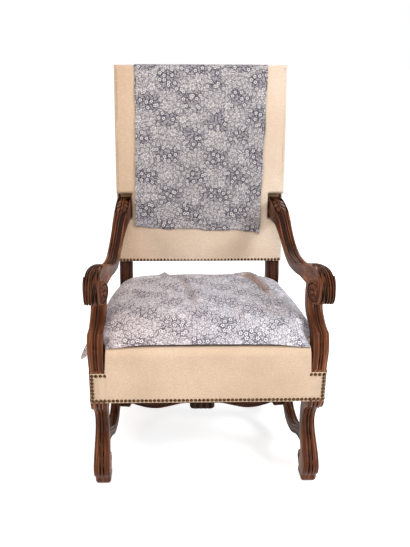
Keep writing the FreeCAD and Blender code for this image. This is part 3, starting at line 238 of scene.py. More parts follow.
def bead_path(points, radius, sides=8):
    """A round bead along points on a plane of constant X, closed at its ends."""
    p = np.array(points, float)
    across = np.array((1, 0, 0))
    tangent = np.gradient(p, axis=0)
    tangent /= np.linalg.norm(tangent, axis=1)[:, None]
    normal = np.cross(tangent, across)
    normal /= np.linalg.norm(normal, axis=1)[:, None]
    turn = np.linspace(0, 2 * math.pi, sides, endpoint=False)[None, :, None]
    ring = radius * (normal[:, None, :] * np.cos(turn) + across * np.sin(turn))
    vertices = (p[:, None, :] + ring).reshape(-1, 3)
    faces = grid_faces(len(p), sides, closed=True)
    faces += [tuple(reversed(range(sides))), tuple((len(p) - 1) * sides + j for j in range(sides))]
    uv = [(0.01 * j / sides, v * mm) for v in run_lengths(p) for j in range(sides)]
    return vertices, faces, np.array(uv), np.zeros(len(vertices))


def spiral(x, centre, start, end, turns, first_angle, count=90):
    """Points of a flat spiral on the plane of that X, from one radius to another."""
    t = np.linspace(0, 1, count)
    angle = first_angle + t * turns * 2 * math.pi
    r = start + (end - start) * t
    return np.stack([np.full(count, x), centre[0] + r * np.cos(angle), centre[1] + r * np.sin(angle)],
                    axis=1)


def ring_points(profile, y, z, sides):
    """Points round an axis along X, a ring for each radius and X of the profile."""
    turns = [2 * math.pi * j / sides for j in range(sides)]
    return [(x, y + r * math.cos(turn), z + r * math.sin(turn)) for r, x in profile for turn in turns]


def dome(centre, radius, height, way, rings=5, sides=20):
    """A low round boss standing on a plane of constant X."""
    x, y, z = centre
    angles = [math.pi / 2 * i / rings for i in range(rings)]
    profile = [(radius * math.cos(angle), x + way * height * math.sin(angle)) for angle in angles]
    vertices = ring_points(profile, y, z, sides) + [(x + way * height, y, z)]
    faces = grid_faces(rings, sides, closed=True)
    top, last_ring = rings * sides, (rings - 1) * sides
    faces += [(last_ring + j, last_ring + (j + 1) % sides, top) for j in range(sides)]
    faces.append(tuple(reversed(range(sides))))
    if way < 0:
        faces = [tuple(reversed(f)) for f in faces]
    uv = [(0.002 * (v[1] % 7), v[2] * mm) for v in vertices]
    return np.array(vertices), faces, np.array(uv), np.zeros(len(vertices))


def reeds(a, s):
    """Front of a leg: a narrow bead between two furrows, with a broad reed on each side."""
    furrows = dip(a, 0.375, 0.05, 1.6) + dip(a, 0.625, 0.05, 1.6)
    swell = 1.3 * dip(a, 0.17, 0.2) + 1.3 * dip(a, 0.83, 0.2) + 1.5 * dip(a, 0.5, 0.11)
    ends = step(s, 0, 0.03) * fall(s, 0.885, 0.915)
    return (1.4 * swell - 3.8 * furrows - 1.6) * ends


def rounded(swell):
    """A side that is rounded from edge to edge."""
    return lambda a, s: swell * (dip(a, 0.5, 0.5) - 0.5)


def furrowed(depth, place, half, swell=0, width=0.3):
    """A side with a furrow near each edge, and a swell between them."""
    return lambda a, s: (swell * dip(a, 0.5, width)
                         - depth * (dip(a, place, half) + dip(a, 1 - place, half)))


# The S of a leg: its front edge and its back edge, as shares of the sweep and of the leg's height
leg_curve = ((0, 1, 0, 1), (0.07, 0.935, 0.09, 0.925), (0.46, 0.838, 0.52, 0.81),
             (0.87, 0.727, 0.84, 0.67), (1, 0.605, 0.88, 0.55), (0.88, 0.51, 0.74, 0.455),
             (0.6, 0.435, 0.46, 0.39), (0.29, 0.36, 0.18, 0.345), (0.07, 0.295, 0.03, 0.3))
# The ankle's front depth, and the heights of its front and back as shares
ankle = ((-4.5, 0.23, 0.25), (-5.5, 0.17, 0.19))
# The foot's front edge and back edge, in depth and height
foot = ((0, 33, 54, 33), (4, 27.5, 55, 27), (6, 22, 56, 21), (7, 13, 55.5, 11), (10, 5.5, 53, 4),
        (20, 0, 47, 0))
# How much of the width is cut away at each station, on the inner and on the outer side
leg_inner_cut = (0, 0, 0.03, 0.1, 0.2, 0.22, 0.18, 0.12, 0.08, 0.05, 0.03, 0.02,
                 0.03, 0.04, 0.02, 0.03, 0.09, 0.24)
leg_outer_cut = (0,) * 12 + (0.03, 0.09, 0.06, 0.07, 0.12, 0.26)


def at_depth(y, turned):
    """A depth on a front leg, or the same place on a rear leg, which is turned about."""
    return seat_depth - y if turned else y


def leg_stations(inner, outer, depth, turned=False):
    """Stations down one S-curved leg; the rear legs are the same shape turned about."""
    edges = [(0, cover_low + 4, depth, cover_low + 4)]
    edges += [(f * leg_sweep, fz * cover_low, depth + b * leg_sweep, bz * cover_low)
              for f, fz, b, bz in leg_curve]
    edges += [(y, fz * cover_low, depth + 2, bz * cover_low) for y, fz, bz in ankle]
    edges += foot
    rows = []
    for (fy, fz, by, bz), i, o in zip(edges, leg_inner_cut, leg_outer_cut):
        low = inner + i * (outer - inner)
        high = outer - o * (outer - inner)
        rows.append(station((low + high) / 2, (at_depth(fy, turned), fz), (at_depth(by, turned), bz),
                            high - low))
    return through(rows, 7)


def heel_scroll(inner, outer, turned=False):
    """The small roll at the back of a foot, with a spiral on each side."""
    face = ((50, 84), (62, 77), (74, 69), (83, 61), (86.5, 53), (85, 43), (81, 33), (76, 25.5),
            (68, 21), (58, 19.5), (50, 19))
    core = ((48, 78), (51, 68), (55, 61), (58, 56), (59, 52), (59, 47), (58, 42), (56, 36), (54, 31),
            (50, 27), (46, 26))
    rows = [station((inner + outer) / 2, (at_depth(fy, turned), fz), (at_depth(cy, turned), cz),
                    outer - inner) for (fy, fz), (cy, cz) in zip(face, core)]
    parts = [moulded(through(rows, 5), face=furrowed(2.2, 0.36, 0.06, 0.8, 0.12), counts=(30, 4, 4),
                     radius=3)]
    eye_y, eye_z = at_depth(71, turned), 49
    for x, way in ((inner, -1), (outer, 1)):
        parts.append(bead_path(spiral(x, (eye_y, eye_z), 14, 4, 1.4, 1.2), 1.5))
        parts.append(dome((x, eye_y, eye_z), 4, 2, way))
    return joined(*parts)


def front_leg():
    """The right front leg and its hidden block."""
    body = moulded(leg_stations(leg_inner, leg_outer, leg_depth), face=reeds, back=rounded(1.2))
    sunk = 1.8                          # the cover's front passes before the block
    rows = [station((leg_inner + leg_outer) / 2, (sunk, z), (leg_depth, z), leg_outer - leg_inner)
            for z in (block_top, block_low)]
    block = moulded(through(rows, 4), radius=1.5)
    return joined(body, block, heel_scroll(277, 319.5))


def rake_point(depth, rise):
    """Side view of the leaning back: depth behind the panel's face, rise above its bottom."""
    return (panel_y + depth * math.cos(rake) + rise * math.sin(rake),
            panel_z - depth * math.sin(rake) + rise * math.cos(rake))


def rear_post():
    """The right rear leg and the post that carries the back."""
    leg = moulded(leg_stations(post_inner, post_outer, post_depth, turned=True),
                  face=reeds, back=rounded(1.2))
    face_depth, back_depth, below_top = 17.2, 59.2, 3.8
    rows = [station(post_x, rake_point(back_depth, rise), rake_point(face_depth, rise), post_width)
            for rise in np.linspace(panel_high - below_top, 0, 8)]
    rows += [station(post_x, (post_back, back_z), (front_y, front_z), post_width)
             for back_z, front_y, front_z in ((440, 533.6, 452), (400, post_front, 405),
                                              (block_low, post_front, block_low))]
    face = furrowed(1.6, 0.2, 0.05)
    post = moulded(through(rows, 5), face=face, back=face, radius=2.5)
    return joined(post, leg, heel_scroll(230, 269, turned=True))


def stretcher_x(y):
    """The middle of the right side stretcher at that depth."""
    front_x = leg_outer - (leg_outer - leg_inner) * stretcher_share
    rear_x = post_outer - post_width * stretcher_share
    return front_x + (rear_x - front_x) * (y - leg_depth) / (post_front - leg_depth)


rail_face = furrowed(1.8, 0.2, 0.07)


def side_stretcher():
    """The right side stretcher, low near each leg and raised in the middle."""
    reach, low, lift, height, width = 241.6, 60, 41, 34, 27
    shares = ((0.74, 0.64), (0.42, 0.02), (0.2, 0.18), (0, 1))
    under = [(stretcher_y - s * reach, low + rise * lift) for s, rise in shares]
    over = [(y, z + height * k) for (y, z), k in zip(under, (1.15, 0.95, 1.1, 1.35))]
    under.insert(0, (62, low + 0.72 * lift))
    over.insert(0, (92, low + 0.7 * lift + 40))
    for line in (under, over):
        line += [(2 * stretcher_y - y, z) for y, z in reversed(line[:-1])]
    rows = [station(stretcher_x((top[0] + bottom[0]) / 2), top, bottom, width)
            for top, bottom in zip(over, under)]
    moulding = furrowed(2, 0.2, 0.09, 1.2)
    return moulded(through(rows, 12), face=moulding, back=moulding, inner=rail_face, outer=rail_face,
                   counts=(24, 16, 18), radius=3)


def cross_stretcher():
    """The right half of the cross stretcher, with a hanging lobe and a small step at its end."""
    x0, x1 = 40, stretcher_x(stretcher_y) - 12
    low, height, end_height, width, step_share = 91, 37, 42, 29, 0.86
    under = ((0, 18), (0.1, 17), (0.27, 8), (0.46, 0), (0.62, 3), (0.76, 12), (0.84, 16),
             (step_share, 7.5), (0.93, 7), (1, 8))
    rows = []
    for share, rise in under:
        top = low + rise + (end_height if share >= step_share else height)
        x = x0 + share * (x1 - x0)
        rows.append(station(x, (stretcher_y, low + rise), (stretcher_y, top), width))
    moulding = furrowed(2, 0.22, 0.08, 1.2)
    return moulded(through(rows, 9), face=moulding, back=moulding, inner=rail_face, outer=rail_face,
                   counts=(24, 16, 18), radius=3, across=(0, 1, 0))


def petal_rim(a, s):
    """Petals carved round the lower part of the boss."""
    return -1.8 * (1 - np.abs(np.sin(3.5 * math.pi * a))) * step(s, 0.45, 0.6)


def boss():
    """The block in the middle of the cross stretcher, rounded and carved below."""
    top, height = 172, 80
    # share of the height from the top, half its width, half its depth
    outline = ((0, 43, 33), (0.48, 43, 33), (0.6, 41.5, 32), (0.68, 38, 30), (0.77, 40, 31),
               (0.87, 38.5, 30), (0.95, 33, 26), (1, 23, 18))
    rows = []
    for share, half, depth in outline:
        z = top - share * height
        rows.append(station(0, (stretcher_y - depth, z), (stretcher_y + depth, z), 2 * half))
    return moulded(through(rows, 6), petal_rim, petal_rim, petal_rim, petal_rim, (44, 30, 44), 5)


def support_face(a, s):
    """Front of an arm support: a thin bead between two furrows, broad rounded reeds beside it."""
    furrows = dip(a, 0.4, 0.05, 1.5) + dip(a, 0.6, 0.05, 1.5)
    swell = 1.6 * dip(a, 0.19, 0.2) + 1.6 * dip(a, 0.81, 0.2) + 1.6 * dip(a, 0.5, 0.085)
    return swell - 3.4 * furrows - 1.2


def support_flank(a, s):
    """Inner flank of an arm support: one furrow near its front."""
    return -1.4 * dip(a, 0.84, 0.06) * step(s, 0.02, 0.06)


def arm_support():
    """The right arm support: bulge, crisp step, then a sweep back up to the scroll."""
    rise, sweep, depth = 226.5, 98, 46
    # depth of the edge, share of the rise
    front = ((1.8, 0), (2.8, 0.12), (0.06 * sweep, 0.28), (15, 0.42), (19, 0.465), (27, 0.485),
             (0.6 * sweep, 0.545), (0.92 * sweep, 0.64), (1.05 * sweep, 0.78), (sweep, 0.94),
             (0.9 * sweep, 1))
    back = ((47.8, 0), (50.8, 0.16), (depth + 0.2 * sweep, 0.35), (84, 0.43), (92, 0.455), (99, 0.475),
            (depth + 0.87 * sweep, 0.56), (depth + 1.04 * sweep, 0.7), (depth + 1.06 * sweep, 0.85),
            (depth + sweep, 0.96), (depth + 0.97 * sweep, 1.02))
    inner = (279.5, 280.5, 281, 281, 280.5, 280, 278.5, 278, 278, 278.5, 279)
    outer = (320, 321.5, 323.4, 323.2, 322.6, 321, 319.5, 319, 319.2, 319.5, 319.5)
    rows = [station((i + o) / 2, (fy, block_top + fz * rise), (by, block_top + bz * rise), o - i)
            for (fy, fz), (by, bz), i, o in zip(front, back, inner, outer)]
    body = moulded(through(rows, 8), face=support_face, inner=support_flank,
                   outer=lambda a, s: support_flank(1 - a, s), counts=(44, 14, 10))
    # the plinth under it: front, back and height of each level, and its width
    levels = ((0.6, 50, 359.2, 43.5), (0.6, 50, 364, 43.5), (1.6, 49, 366, 41.5))
    plinth = [station(299, (y0, z), (y1, z), width) for y0, y1, z, width in levels]
    return joined(body, moulded(through(plinth, 3), radius=1))


def acanthus(a, q):
    """A carved leaf: q runs from its base to its tip, a across it."""
    side = np.abs(a - 0.5) * 2
    reach = fall(q, 0.62, 1.08) * 1.04
    phase = math.pi * (3.6 * q - 0.8 * side)
    edge = reach * (0.78 + 0.22 * (0.5 + 0.5 * np.cos(2 * phase)))
    veins = 1 - dip(np.abs(np.cos(phase)), 0, 0.55, 1.3)
    rib = dip(side, 0, 0.12, 1.5)
    relief = 1.4 + 5 * veins * (1 - 0.2 * side) + 1.8 * rib - 4 * dip(side, 0.18, 0.08)
    return fall(side, edge - 0.1, edge) * relief


def arm_face(a, s):
    """Top of an arm from its rear block to the scroll; a runs from the inside to the outside."""
    block = fall(s, 0.19, 0.225)
    scroll = step(s, 0.56, 0.64)
    furrows = dip(a, 0.59, 0.055, 1.5) + dip(a, 0.82, 0.055, 1.5)
    moulding = (2.8 * dip(a, 0.7, 0.08) - 4.2 * furrows - 2.08 * dip(a, 0.3, 0.28)
                + dip(a, 0.92, 0.1) - 3 * dip(a, 0.07, 0.06))
    leaf = acanthus(a, np.clip((s - 0.06) / 0.19, 0, 1)) - 6
    flutes = 4.6 * np.abs(np.cos(math.pi * 2.5 * (a - 0.5) / 0.5)) ** 1.1 - 4.4
    away = np.abs(a - 0.24)
    feather = 2 * dip(away, 0, 0.06) - 4 * np.sin(math.pi * (15 * s - 2.4 * away)) ** 2
    feather = feather * fall(away, 0.2, 0.23) - 3.4 * dip(a, 0.46, 0.06)
    outer_half = step(a, 0.46, 0.5)
    carving = flutes * outer_half + feather * (1 - outer_half)
    return (moulding * (1 - block) * (1 - scroll) + leaf * fall(s, 0.2, 0.24) * block
            + carving * scroll)


def arm_rows():
    """Stations along the right arm from the post, over the dip and round the scroll."""
    top = [(578, 714), (533, 713.5), (505, 711), (479.7, 706.5), (459, 702), (445, 694.5), (436, 684),
           (427, 674), (409, 653.5), (391.8, 637.5), (365, 619), (328.9, 607), (261.2, 602),
           (205.2, 602.5), (175, 610), (149.8, 620.5), (122, 627.5), (94.9, 631.5), (62, 633), (36, 630),
           (15, 622), (-1, 608), (-9, 591), (-9, 573), (0, 558.5), (14, 550.5), (31, 548.5), (48, 551),
           (60, 556)]
    low = [(578, 655), (533, 655), (500, 655), (470, 656), (448, 656), (432, 649), (419, 638.5),
           (409, 628.5), (396, 615), (378, 600.5), (357, 586), (327, 575.5), (265, 571), (207, 571.5),
           (178, 574), (150, 573.5), (118, 572), (96, 570.5), (74, 574), (56, 578), (50, 580), (47, 582),
           (45, 583), (45, 583), (46, 582), (48, 580), (50, 579), (54, 580), (60, 582)]
    middle = [252, 252, 252, 252.5, 253.5, 255.5, 258, 260.5, 263.5, 266, 269, 271, 272, 279, 283, 287,
              291, 295.5, 299.5, 301.5, 302.5] + [303] * 8
    width = [45, 45, 45, 44.5, 43.5, 42, 40, 38, 36.5, 36, 36, 36, 36, 36.5, 37, 37.5, 38.5, 40]
    width += [40.5] * 11
    return through([station(*row) for row in zip(middle, top, low, width)], 9)


def arm_flank(place):
    """A flank of an arm, with a furrow along its moulded middle."""
    return lambda a, s: -1.2 * dip(a, place, 0.07) * step(s, 0.22, 0.26) * fall(s, 0.55, 0.6)


def arm():
    """The right arm with its carved block, moulded middle and rolled scroll."""
    parts = [moulded(arm_rows(), face=arm_face, back=rounded(1), inner=arm_flank(0.8),
                     outer=arm_flank(0.2), counts=(72, 12, 12), radius=3), roundel()]
    eye = (36, 589)
    for x, way in ((283, -1), (323, 1)):
        parts.append(bead_path(spiral(x, eye, 37, 9, 1.6, 1.9, 120), 2.3))
        parts.append(dome((x - way * 0.5, *eye), 8, 3.5, way))
    return joined(*parts)


def roundel():
    """The domed disc on the inner side of the right scroll, turned a little forward, with a spiral."""
    profile = ((30, 304), (31, 279), (30, 276), (27.5, 275), (25.5, 276.8), (23, 276), (17, 274),
               (12, 273.6), (9, 275), (7, 272.5), (4, 271), (0.5, 270.6))
    sides, y, z, lean = 48, 42, 573, 0.33
    rings = through(profile, 3)
    uvs = [(skin * j / sides, r * mm) for r, _ in rings for j in range(sides)]
    # painted shade over the disc, deeper in its two grooves
    grooved = [2.5 if min(abs(r - 25), abs(r - 9)) < 1.5 else 0.5 for r, _ in rings]
    carved = np.repeat(grooved, sides)
    faces = grid_faces(len(rings), sides, closed=True, turned=True)
    faces += [tuple((len(rings) - 1) * sides + j for j in reversed(range(sides))), tuple(range(sides))]
    whole = joined((ring_points(rings, y, z, sides), faces, uvs, carved),
                   bead_path(spiral(275, (y, z), 21, 9, 1.25, 2.6, 60), 2.2))
    whole[0][:, 0] -= lean * (whole[0][:, 1] - y)
    return whole


def ear_leaf():
    """The small curled leaf under the right arm, behind its scroll."""
    x, y, z = 286, 108, 566
    rows = []
    for t in np.linspace(0, 1, 16):
        angle = math.radians(80 + 210 * t)
        r = 17 - 8 * t
        rim = (y + r * math.cos(angle) * 1.2, z + r * math.sin(angle) * 0.8)
        rows.append(station(x, rim, (y + 4 * math.cos(angle), z + 3 * math.sin(angle)), 25 - 7 * t))
    return moulded(rows, face=lambda a, s: -1.8 * (1 - np.abs(np.cos(3 * math.pi * a))),
                   counts=(26, 4, 4), radius=2)


# Node materials

class Value:
    """What a node gives out; arithmetic on it makes Math nodes."""

    def __init__(self, tree, socket):
        self.tree, self.socket = tree, socket

    def __add__(self, other):
        return self.tree.math("ADD", self, other)

    def __mul__(self, other):
        return self.tree.math("MULTIPLY", self, other)

    def __sub__(self, other):
        return self.tree.math("SUBTRACT", self, other)

    def __rsub__(self, other):
        return self.tree.math("SUBTRACT", other, self)

    def __truediv__(self, other):
        return self.tree.math("DIVIDE", self, other)

    __radd__, __rmul__ = __add__, __mul__


class Tree:
    """The nodes of one material or world, made from short calls."""

    def __init__(self, owner, end="OutputMaterial"):
        owner.use_nodes = True
        self.owner, self.nodes, self.links = owner, owner.node_tree.nodes, owner.node_tree.links
        self.nodes.clear()
        self.end = self.make(end)

    def put(self, socket, value):
        """Links a value or a node's shader to a socket, or sets its number or colour."""
        if isinstance(value, Value):
            self.links.new(value.socket, socket)
        elif isinstance(value, bpy.types.Node):
            self.links.new(value.outputs[0], socket)
        elif isinstance(value, tuple) and socket.type == "RGBA":
            socket.default_value = (*value, 1)
        elif value is not None:
            socket.default_value = value

    def make(self, kind, inputs=None, **settings):
        node = self.nodes.new("ShaderNode" + kind)
        for key, value in settings.items():
            setattr(node, key, value)
        for key, value in (inputs or {}).items():
            self.put(node.inputs[key], value)
        return node

    def get(self, kind, inputs=None, out=0, **settings):
        return Value(self, self.make(kind, inputs, **settings).outputs[out])

    def principled(self, **values):
        return self.make("BsdfPrincipled", {key.replace("_", " "): v for key, v in values.items()})

    def finish(self, shader):
        self.put(self.end.inputs[0], shader)
        return self.owner

    def surface(self, **values):
        return self.finish(self.principled(**values))

    def flat(self):
        return self.get("UVMap", uv_map="flat")

    def place(self):
        return self.get("TexCoord", out="Object")

    def painted_shade(self):
        return self.get("Attribute", out="Fac", attribute_name="painted_shade")

    def split(self, vector):
        node = self.make("SeparateXYZ", {0: vector})
        return [Value(self, out) for out in node.outputs]

    def math(self, operation, a, b=None, clamp=False):
        return self.get("Math", {0: a, 1: b}, operation=operation, use_clamp=clamp)

    def vector(self, operation, a, b):
        second = "Scale" if operation == "SCALE" else 1
        return self.get("VectorMath", {0: a, second: b}, operation=operation)

    def stretch(self, vector, scale):
        return self.get("Mapping", {"Vector": vector, "Scale": scale})

    def noise(self, vector, scale, detail=2, roughness=0.5, distortion=0, out=0):
        return self.get("TexNoise", {"Vector": vector, "Scale": scale, "Detail": detail,
                                     "Roughness": roughness, "Distortion": distortion}, out)

    def weave(self, vector, scale, distortion):
        """Waves along the first and the second direction."""
        inputs = {"Vector": vector, "Scale": scale, "Distortion": distortion, "Detail": 1}
        return [self.get("TexWave", inputs, "Fac", bands_direction=direction) for direction in "XY"]

    def ramp(self, value, stops):
        node = self.make("ValToRGB", {"Fac": value})
        elements = node.color_ramp.elements
        while len(elements) < len(stops):
            elements.new(0.5)
        for element, (position, colour) in zip(elements, stops):
            element.position = position
            element.color = (*colour, 1)
        return Value(self, node.outputs[0])

    def mix(self, factor, a, b, blend="MIX"):
        return self.get("Mix", {0: factor, 6: a, 7: b}, 2, data_type="RGBA", blend_type=blend)

    def band(self, value, low, high):
        """1 above high, 0 below low, smooth between them."""
        return self.get("MapRange", {"Value": value, "From Min": low, "From Max": high},
                        interpolation_type="SMOOTHSTEP")

    def bump(self, height, strength, distance, normal=None):
        return self.get("Bump", {"Height": height, "Strength": strength, "Distance": distance,
                                 "Normal": normal})

    def background_rays(self):
        """1 for rays that show the background: to the camera, by gloss, or through glass."""
        path = self.make("LightPath")
        camera, glossy, glass = (Value(self, path.outputs[f"Is {kind} Ray"])
                                 for kind in ("Camera", "Glossy", "Transmission"))
        return self.math("MAXIMUM", self.math("MAXIMUM", camera, glossy), glass)


def new_material(name):
    return Tree(bpy.data.materials.new(name))


def srgb(r, g, b):
    """A colour as it looks on screen, for a shader."""
    return tuple(((c / 255 + 0.055) / 1.055) ** 2.4 if c > 10 else c / 255 / 12.92 for c in (r, g, b))


def dimmed(colour, share):
    return tuple(c * share for c in colour)


def wood_material(name, dark, mid, light, along_uv=True, gloss=0.34):
    """Carved wood: long grain, pores, painted shade in its furrows, lighter convex edges (rubbed wear and
    painted highlight), a waxed sheen.
    """
    t = new_material(name)
    if along_uv:
        grain, fine = (t.stretch(t.flat(), (1, share, 1)) for share in (0.085, 0.03))
    else:
        grain, fine = (t.stretch(t.place(), (1, 1, share)) for share in (0.1, 0.035))
    figure = t.noise(grain, 75, 5, 0.62, 0.8)
    streaks = t.noise(fine, 520, 3, 0.6)
    pores = t.band(t.noise(fine, 1500), 0.58, 0.72)
    patches = t.noise(t.place(), 9)
    colour = t.ramp(figure * 0.62 + streaks * 0.38, [(0.3, dark), (0.5, mid), (0.72, light)])
    colour = t.mix(t.band(patches, 0.4, 0.75) * 0.35, colour, dark)
    colour = t.mix(pores * 0.5, colour, dimmed(dark, 0.35))
    # painted shade: darker where the painted-shade amount, mostly the carved depth, is larger
    shade_mask = t.math("MULTIPLY", t.painted_shade() - 0.2, 0.5, clamp=True)
    colour = t.mix(shade_mask, colour, dimmed(dark, 0.2))
    # convex edges painted lighter in patches: partly rubbed wear, partly painted highlight
    edges = t.band(t.get("NewGeometry", out="Pointiness"), 0.515, 0.56)
    edge_wear_and_highlight = edges * t.band(t.noise(t.place(), 40, 3), 0.35, 0.65)
    return t.surface(
        Base_Color=t.mix(edge_wear_and_highlight * 0.7, colour, light),
        Roughness=streaks * 0.22 + (shade_mask * 0.3 + (gloss - 0.1)),
        Specular_IOR_Level=0.14, Coat_Weight=0.05, Coat_Roughness=0.15,
        Normal=t.bump(streaks * 0.6 - pores, 0.35, 0.0004))


def linen_material(name, base, shade, left_shade=0):
    """Plain linen: crossed threads with slubs and faint soiling, with painted shade darkening its left
    side by the given share.
    """
    t = new_material(name)
    where = t.flat()
    level, upright = (t.noise(t.stretch(where, scale), 900, 2, 0.6)
                      for scale in ((0.06, 1, 1), (1, 0.06, 1)))
    slubs = t.math("MAXIMUM", t.band(level, 0.56, 0.75), t.band(upright, 0.58, 0.78))
    speckle = t.noise(where, 420, 2, 0.7)
    weave = t.weave(where, 290, 0.6)
    colour = t.mix(t.band(t.noise(t.place(), 7, 3, 0.55), 0.3, 0.7), base, shade)
    # painted shade: darker and warmer towards the left
    left = 1 - t.band(t.split(t.place())[0], -0.3, -0.02)
    colour = t.mix(left * left_shade, colour, tuple(c * k for c, k in zip(shade, (0.72, 0.58, 0.43))))
    colour = t.mix(t.band(speckle, 0.4, 0.64) * 0.75, colour, dimmed(base, 0.68))
    flecks = t.band(t.noise(where, 190, 3, 0.65), 0.5, 0.7)
    colour = t.mix(flecks * 0.45, colour, dimmed(shade, 0.78))
    colour = t.mix(slubs * 0.6, colour, tuple(min(1, c * 1.24) for c in base))
    height = (weave[0] + weave[1]) * 0.35 + (slubs * 0.6 + speckle)
    pull = t.noise(t.stretch(t.place(), (1, 1, 0.6)), 14, 3, 0.6)
    return t.surface(
        Base_Color=colour, Roughness=0.88, Specular_IOR_Level=0.25,
        Sheen_Weight=0.25, Sheen_Roughness=0.5,
        Normal=t.bump(height, 0.6, 0.0008, t.bump(pull, 0.3, 0.006)))


def print_material(name, ground, dark, pale, clusters, side_light=None):
    """Cotton with an all-over print: blossoms in half-drop clusters, sprigs, and a stippled ground."""
    t = new_material(name)
    wobble = t.vector("SUBTRACT", t.noise(t.flat(), 160, out=1), (0.5, 0.5, 0.5))
    flat = t.vector("ADD", t.flat(), t.vector("SCALE", wobble, 0.0016))
    u, v, _ = t.split(flat)
    repeat_across, repeat_along = 0.15, 0.118
    sway = t.noise(t.flat(), 11) * 5.5
    columns = t.math("SINE", u * (2 * math.pi / repeat_across) + sway)
    levels = t.math("SINE", v * (2 * math.pi / repeat_along) - sway)
    garden = t.band(columns * levels, -0.4, 0.45) * clusters

    def scatter(scale, randomness, seed):
        """Distance and angle from the nearest flower's middle, and two numbers drawn for it."""
        moved = t.vector("ADD", flat, (seed, seed * 0.7, 0))
        node = t.make("TexVoronoi", {"Vector": moved, "Scale": scale, "Randomness": randomness},
                      voronoi_dimensions="2D", feature="F1")
        places = (moved, Value(t, node.outputs["Position"]))
        here, middle = (t.vector("SCALE", place, scale) for place in places)
        x, y, _ = t.split(t.vector("SUBTRACT", here, middle))
        drawn = t.make("SeparateColor", {0: Value(t, node.outputs["Color"])}).outputs
        return (Value(t, node.outputs["Distance"]) / scale, t.math("ARCTAN2", y, x),
                Value(t, drawn[0]), Value(t, drawn[1]))

    def beyond(distance, angle, turn, count, size, depth):
        """How far a point is outside a flower's outline of that many petals."""
        wave = t.math("COSINE", angle * count + turn * 6.28)
        return distance - (wave * depth + (1 - depth)) * size

    def inside(gap):
        return 1 - t.band(gap, -0.0003, 0.0003)

    def outline(gap, line):
        return 1 - t.band(t.math("ABSOLUTE", gap), line * 0.5, line)

    stipple = t.get("TexVoronoi", {"Vector": flat, "Scale": 250, "Randomness": 1}, "Distance",
                    voronoi_dimensions="2D", feature="DISTANCE_TO_EDGE")
    net = 1 - t.band(stipple, 0.06, 0.24)
    colour = t.mix(net * (garden * 0.35 + 0.52), ground, dark)
    specks = t.band(t.noise(flat, 300, 1), 0.5, 0.6)
    colour = t.mix(specks * (0.85 - garden * 0.55), colour, pale)

    distance, angle, turn, _ = scatter(92, 0.9, 0.31)
    leaf = inside(beyond(distance, angle, turn, 2, 0.0056, 0.55))
    colour = t.mix(leaf * (garden * 0.4 + 0.5), colour, dark)

    distance, angle, turn, pick = scatter(23, 0.75, 3.9)
    gap = beyond(distance, angle, turn, 6, 0.0125, 0.14)
    shown = t.band(pick, 0.3, 0.31) * (1 - garden)
    colour = t.mix(inside(gap) * shown, colour, t.mix(t.band(distance, 0.003, 0.011), ground, pale))
    colour = t.mix(outline(gap, 0.0018) * shown * 0.55, colour, dark)

    distance, angle, turn, pick = scatter(52, 0.8, 1.7)
    gap = beyond(distance, angle, turn, 5, 0.0078, 0.17)
    shown = t.band(pick, 0.12, 0.13) * (garden * 0.6 + 0.4)
    colour = t.mix(inside(gap) * shown, colour, pale)
    colour = t.mix(outline(gap, 0.0023) * shown, colour, dark)
    colour = t.mix((1 - t.band(distance, 0.0017, 0.0028)) * shown, colour, dark)

    # painted light: warmer and darker on the left, cooler and brighter on the right
    if side_light:
        side = t.band(t.split(t.place())[0], -0.29, 0.29)
        colour = t.mix(1, colour, t.ramp(side, side_light), "MULTIPLY")
    # painted shade in the sinks beside the cushion's folds; on the main fold the brown is partly the
    # cloth's brown reverse side
    colour = t.mix(t.painted_shade() * 0.8, colour, srgb(140, 106, 84))
    weave = t.weave(t.flat(), 420, 0.4)
    crumple = t.noise(t.flat(), 38, 3, 0.55)
    return t.surface(
        Base_Color=colour, Roughness=0.85, Specular_IOR_Level=0.25,
        Sheen_Weight=0.2, Sheen_Roughness=0.4,
        Normal=t.bump(weave[0] + weave[1], 0.15, 0.0003, t.bump(crumple, 0.25, 0.004)))


def brass_material():
    """Antique brass nail heads: dull gold, mottled at random from dark to bright."""
    t = new_material("antique_brass")
    mottle = t.noise(t.place(), 420, 3, 0.6)
    tones = (srgb(42, 25, 14), srgb(80, 53, 30), srgb(160, 124, 82))
    colour = t.ramp(mottle, list(zip((0.34, 0.54, 0.72), tones)))
    return t.surface(Base_Color=colour, Metallic=0.9, Roughness=mottle * 0.26 + 0.2,
                     Normal=t.bump(mottle, 0.2, 0.0003))


def coarse_material(name, colour, scale):
    """Webbing, sacking, hair and such: a coarse crossed weave."""
    t = new_material(name)
    level, upright = t.weave(t.place(), scale, 1)
    specks = t.noise(t.place(), scale * 2, 3, 0.7)
    return t.surface(Base_Color=t.mix(specks * 0.8, colour, dimmed(colour, 0.45)), Roughness=0.95,
                     Normal=t.bump(level * upright + specks, 0.6, 0.0008))


def steel_material():
    """Plain steel screws with a brushed, slightly tarnished head."""
    t = new_material("screw_steel")
    marks = t.noise(t.stretch(t.place(), (1, 1, 8)), 600, 3, 0.6)
    colour = t.ramp(marks, [(0.3, (0.22, 0.21, 0.2)), (0.7, (0.5, 0.49, 0.47))])
    return t.surface(Base_Color=colour, Metallic=1, Roughness=marks * 0.3 + 0.25)


walnut_tones = (srgb(34, 12, 5), srgb(88, 44, 22), srgb(178, 120, 80))
walnut = wood_material("carved_walnut", *walnut_tones, gloss=0.42)
pegs = wood_material("walnut_pegs", *walnut_tones, along_uv=False, gloss=0.42)
beech = wood_material("beech_frame", srgb(120, 82, 50), srgb(172, 130, 88), srgb(205, 168, 122),
                      along_uv=False, gloss=0.6)
linen = linen_material("beige_linen", srgb(227, 200, 172), srgb(212, 182, 154))
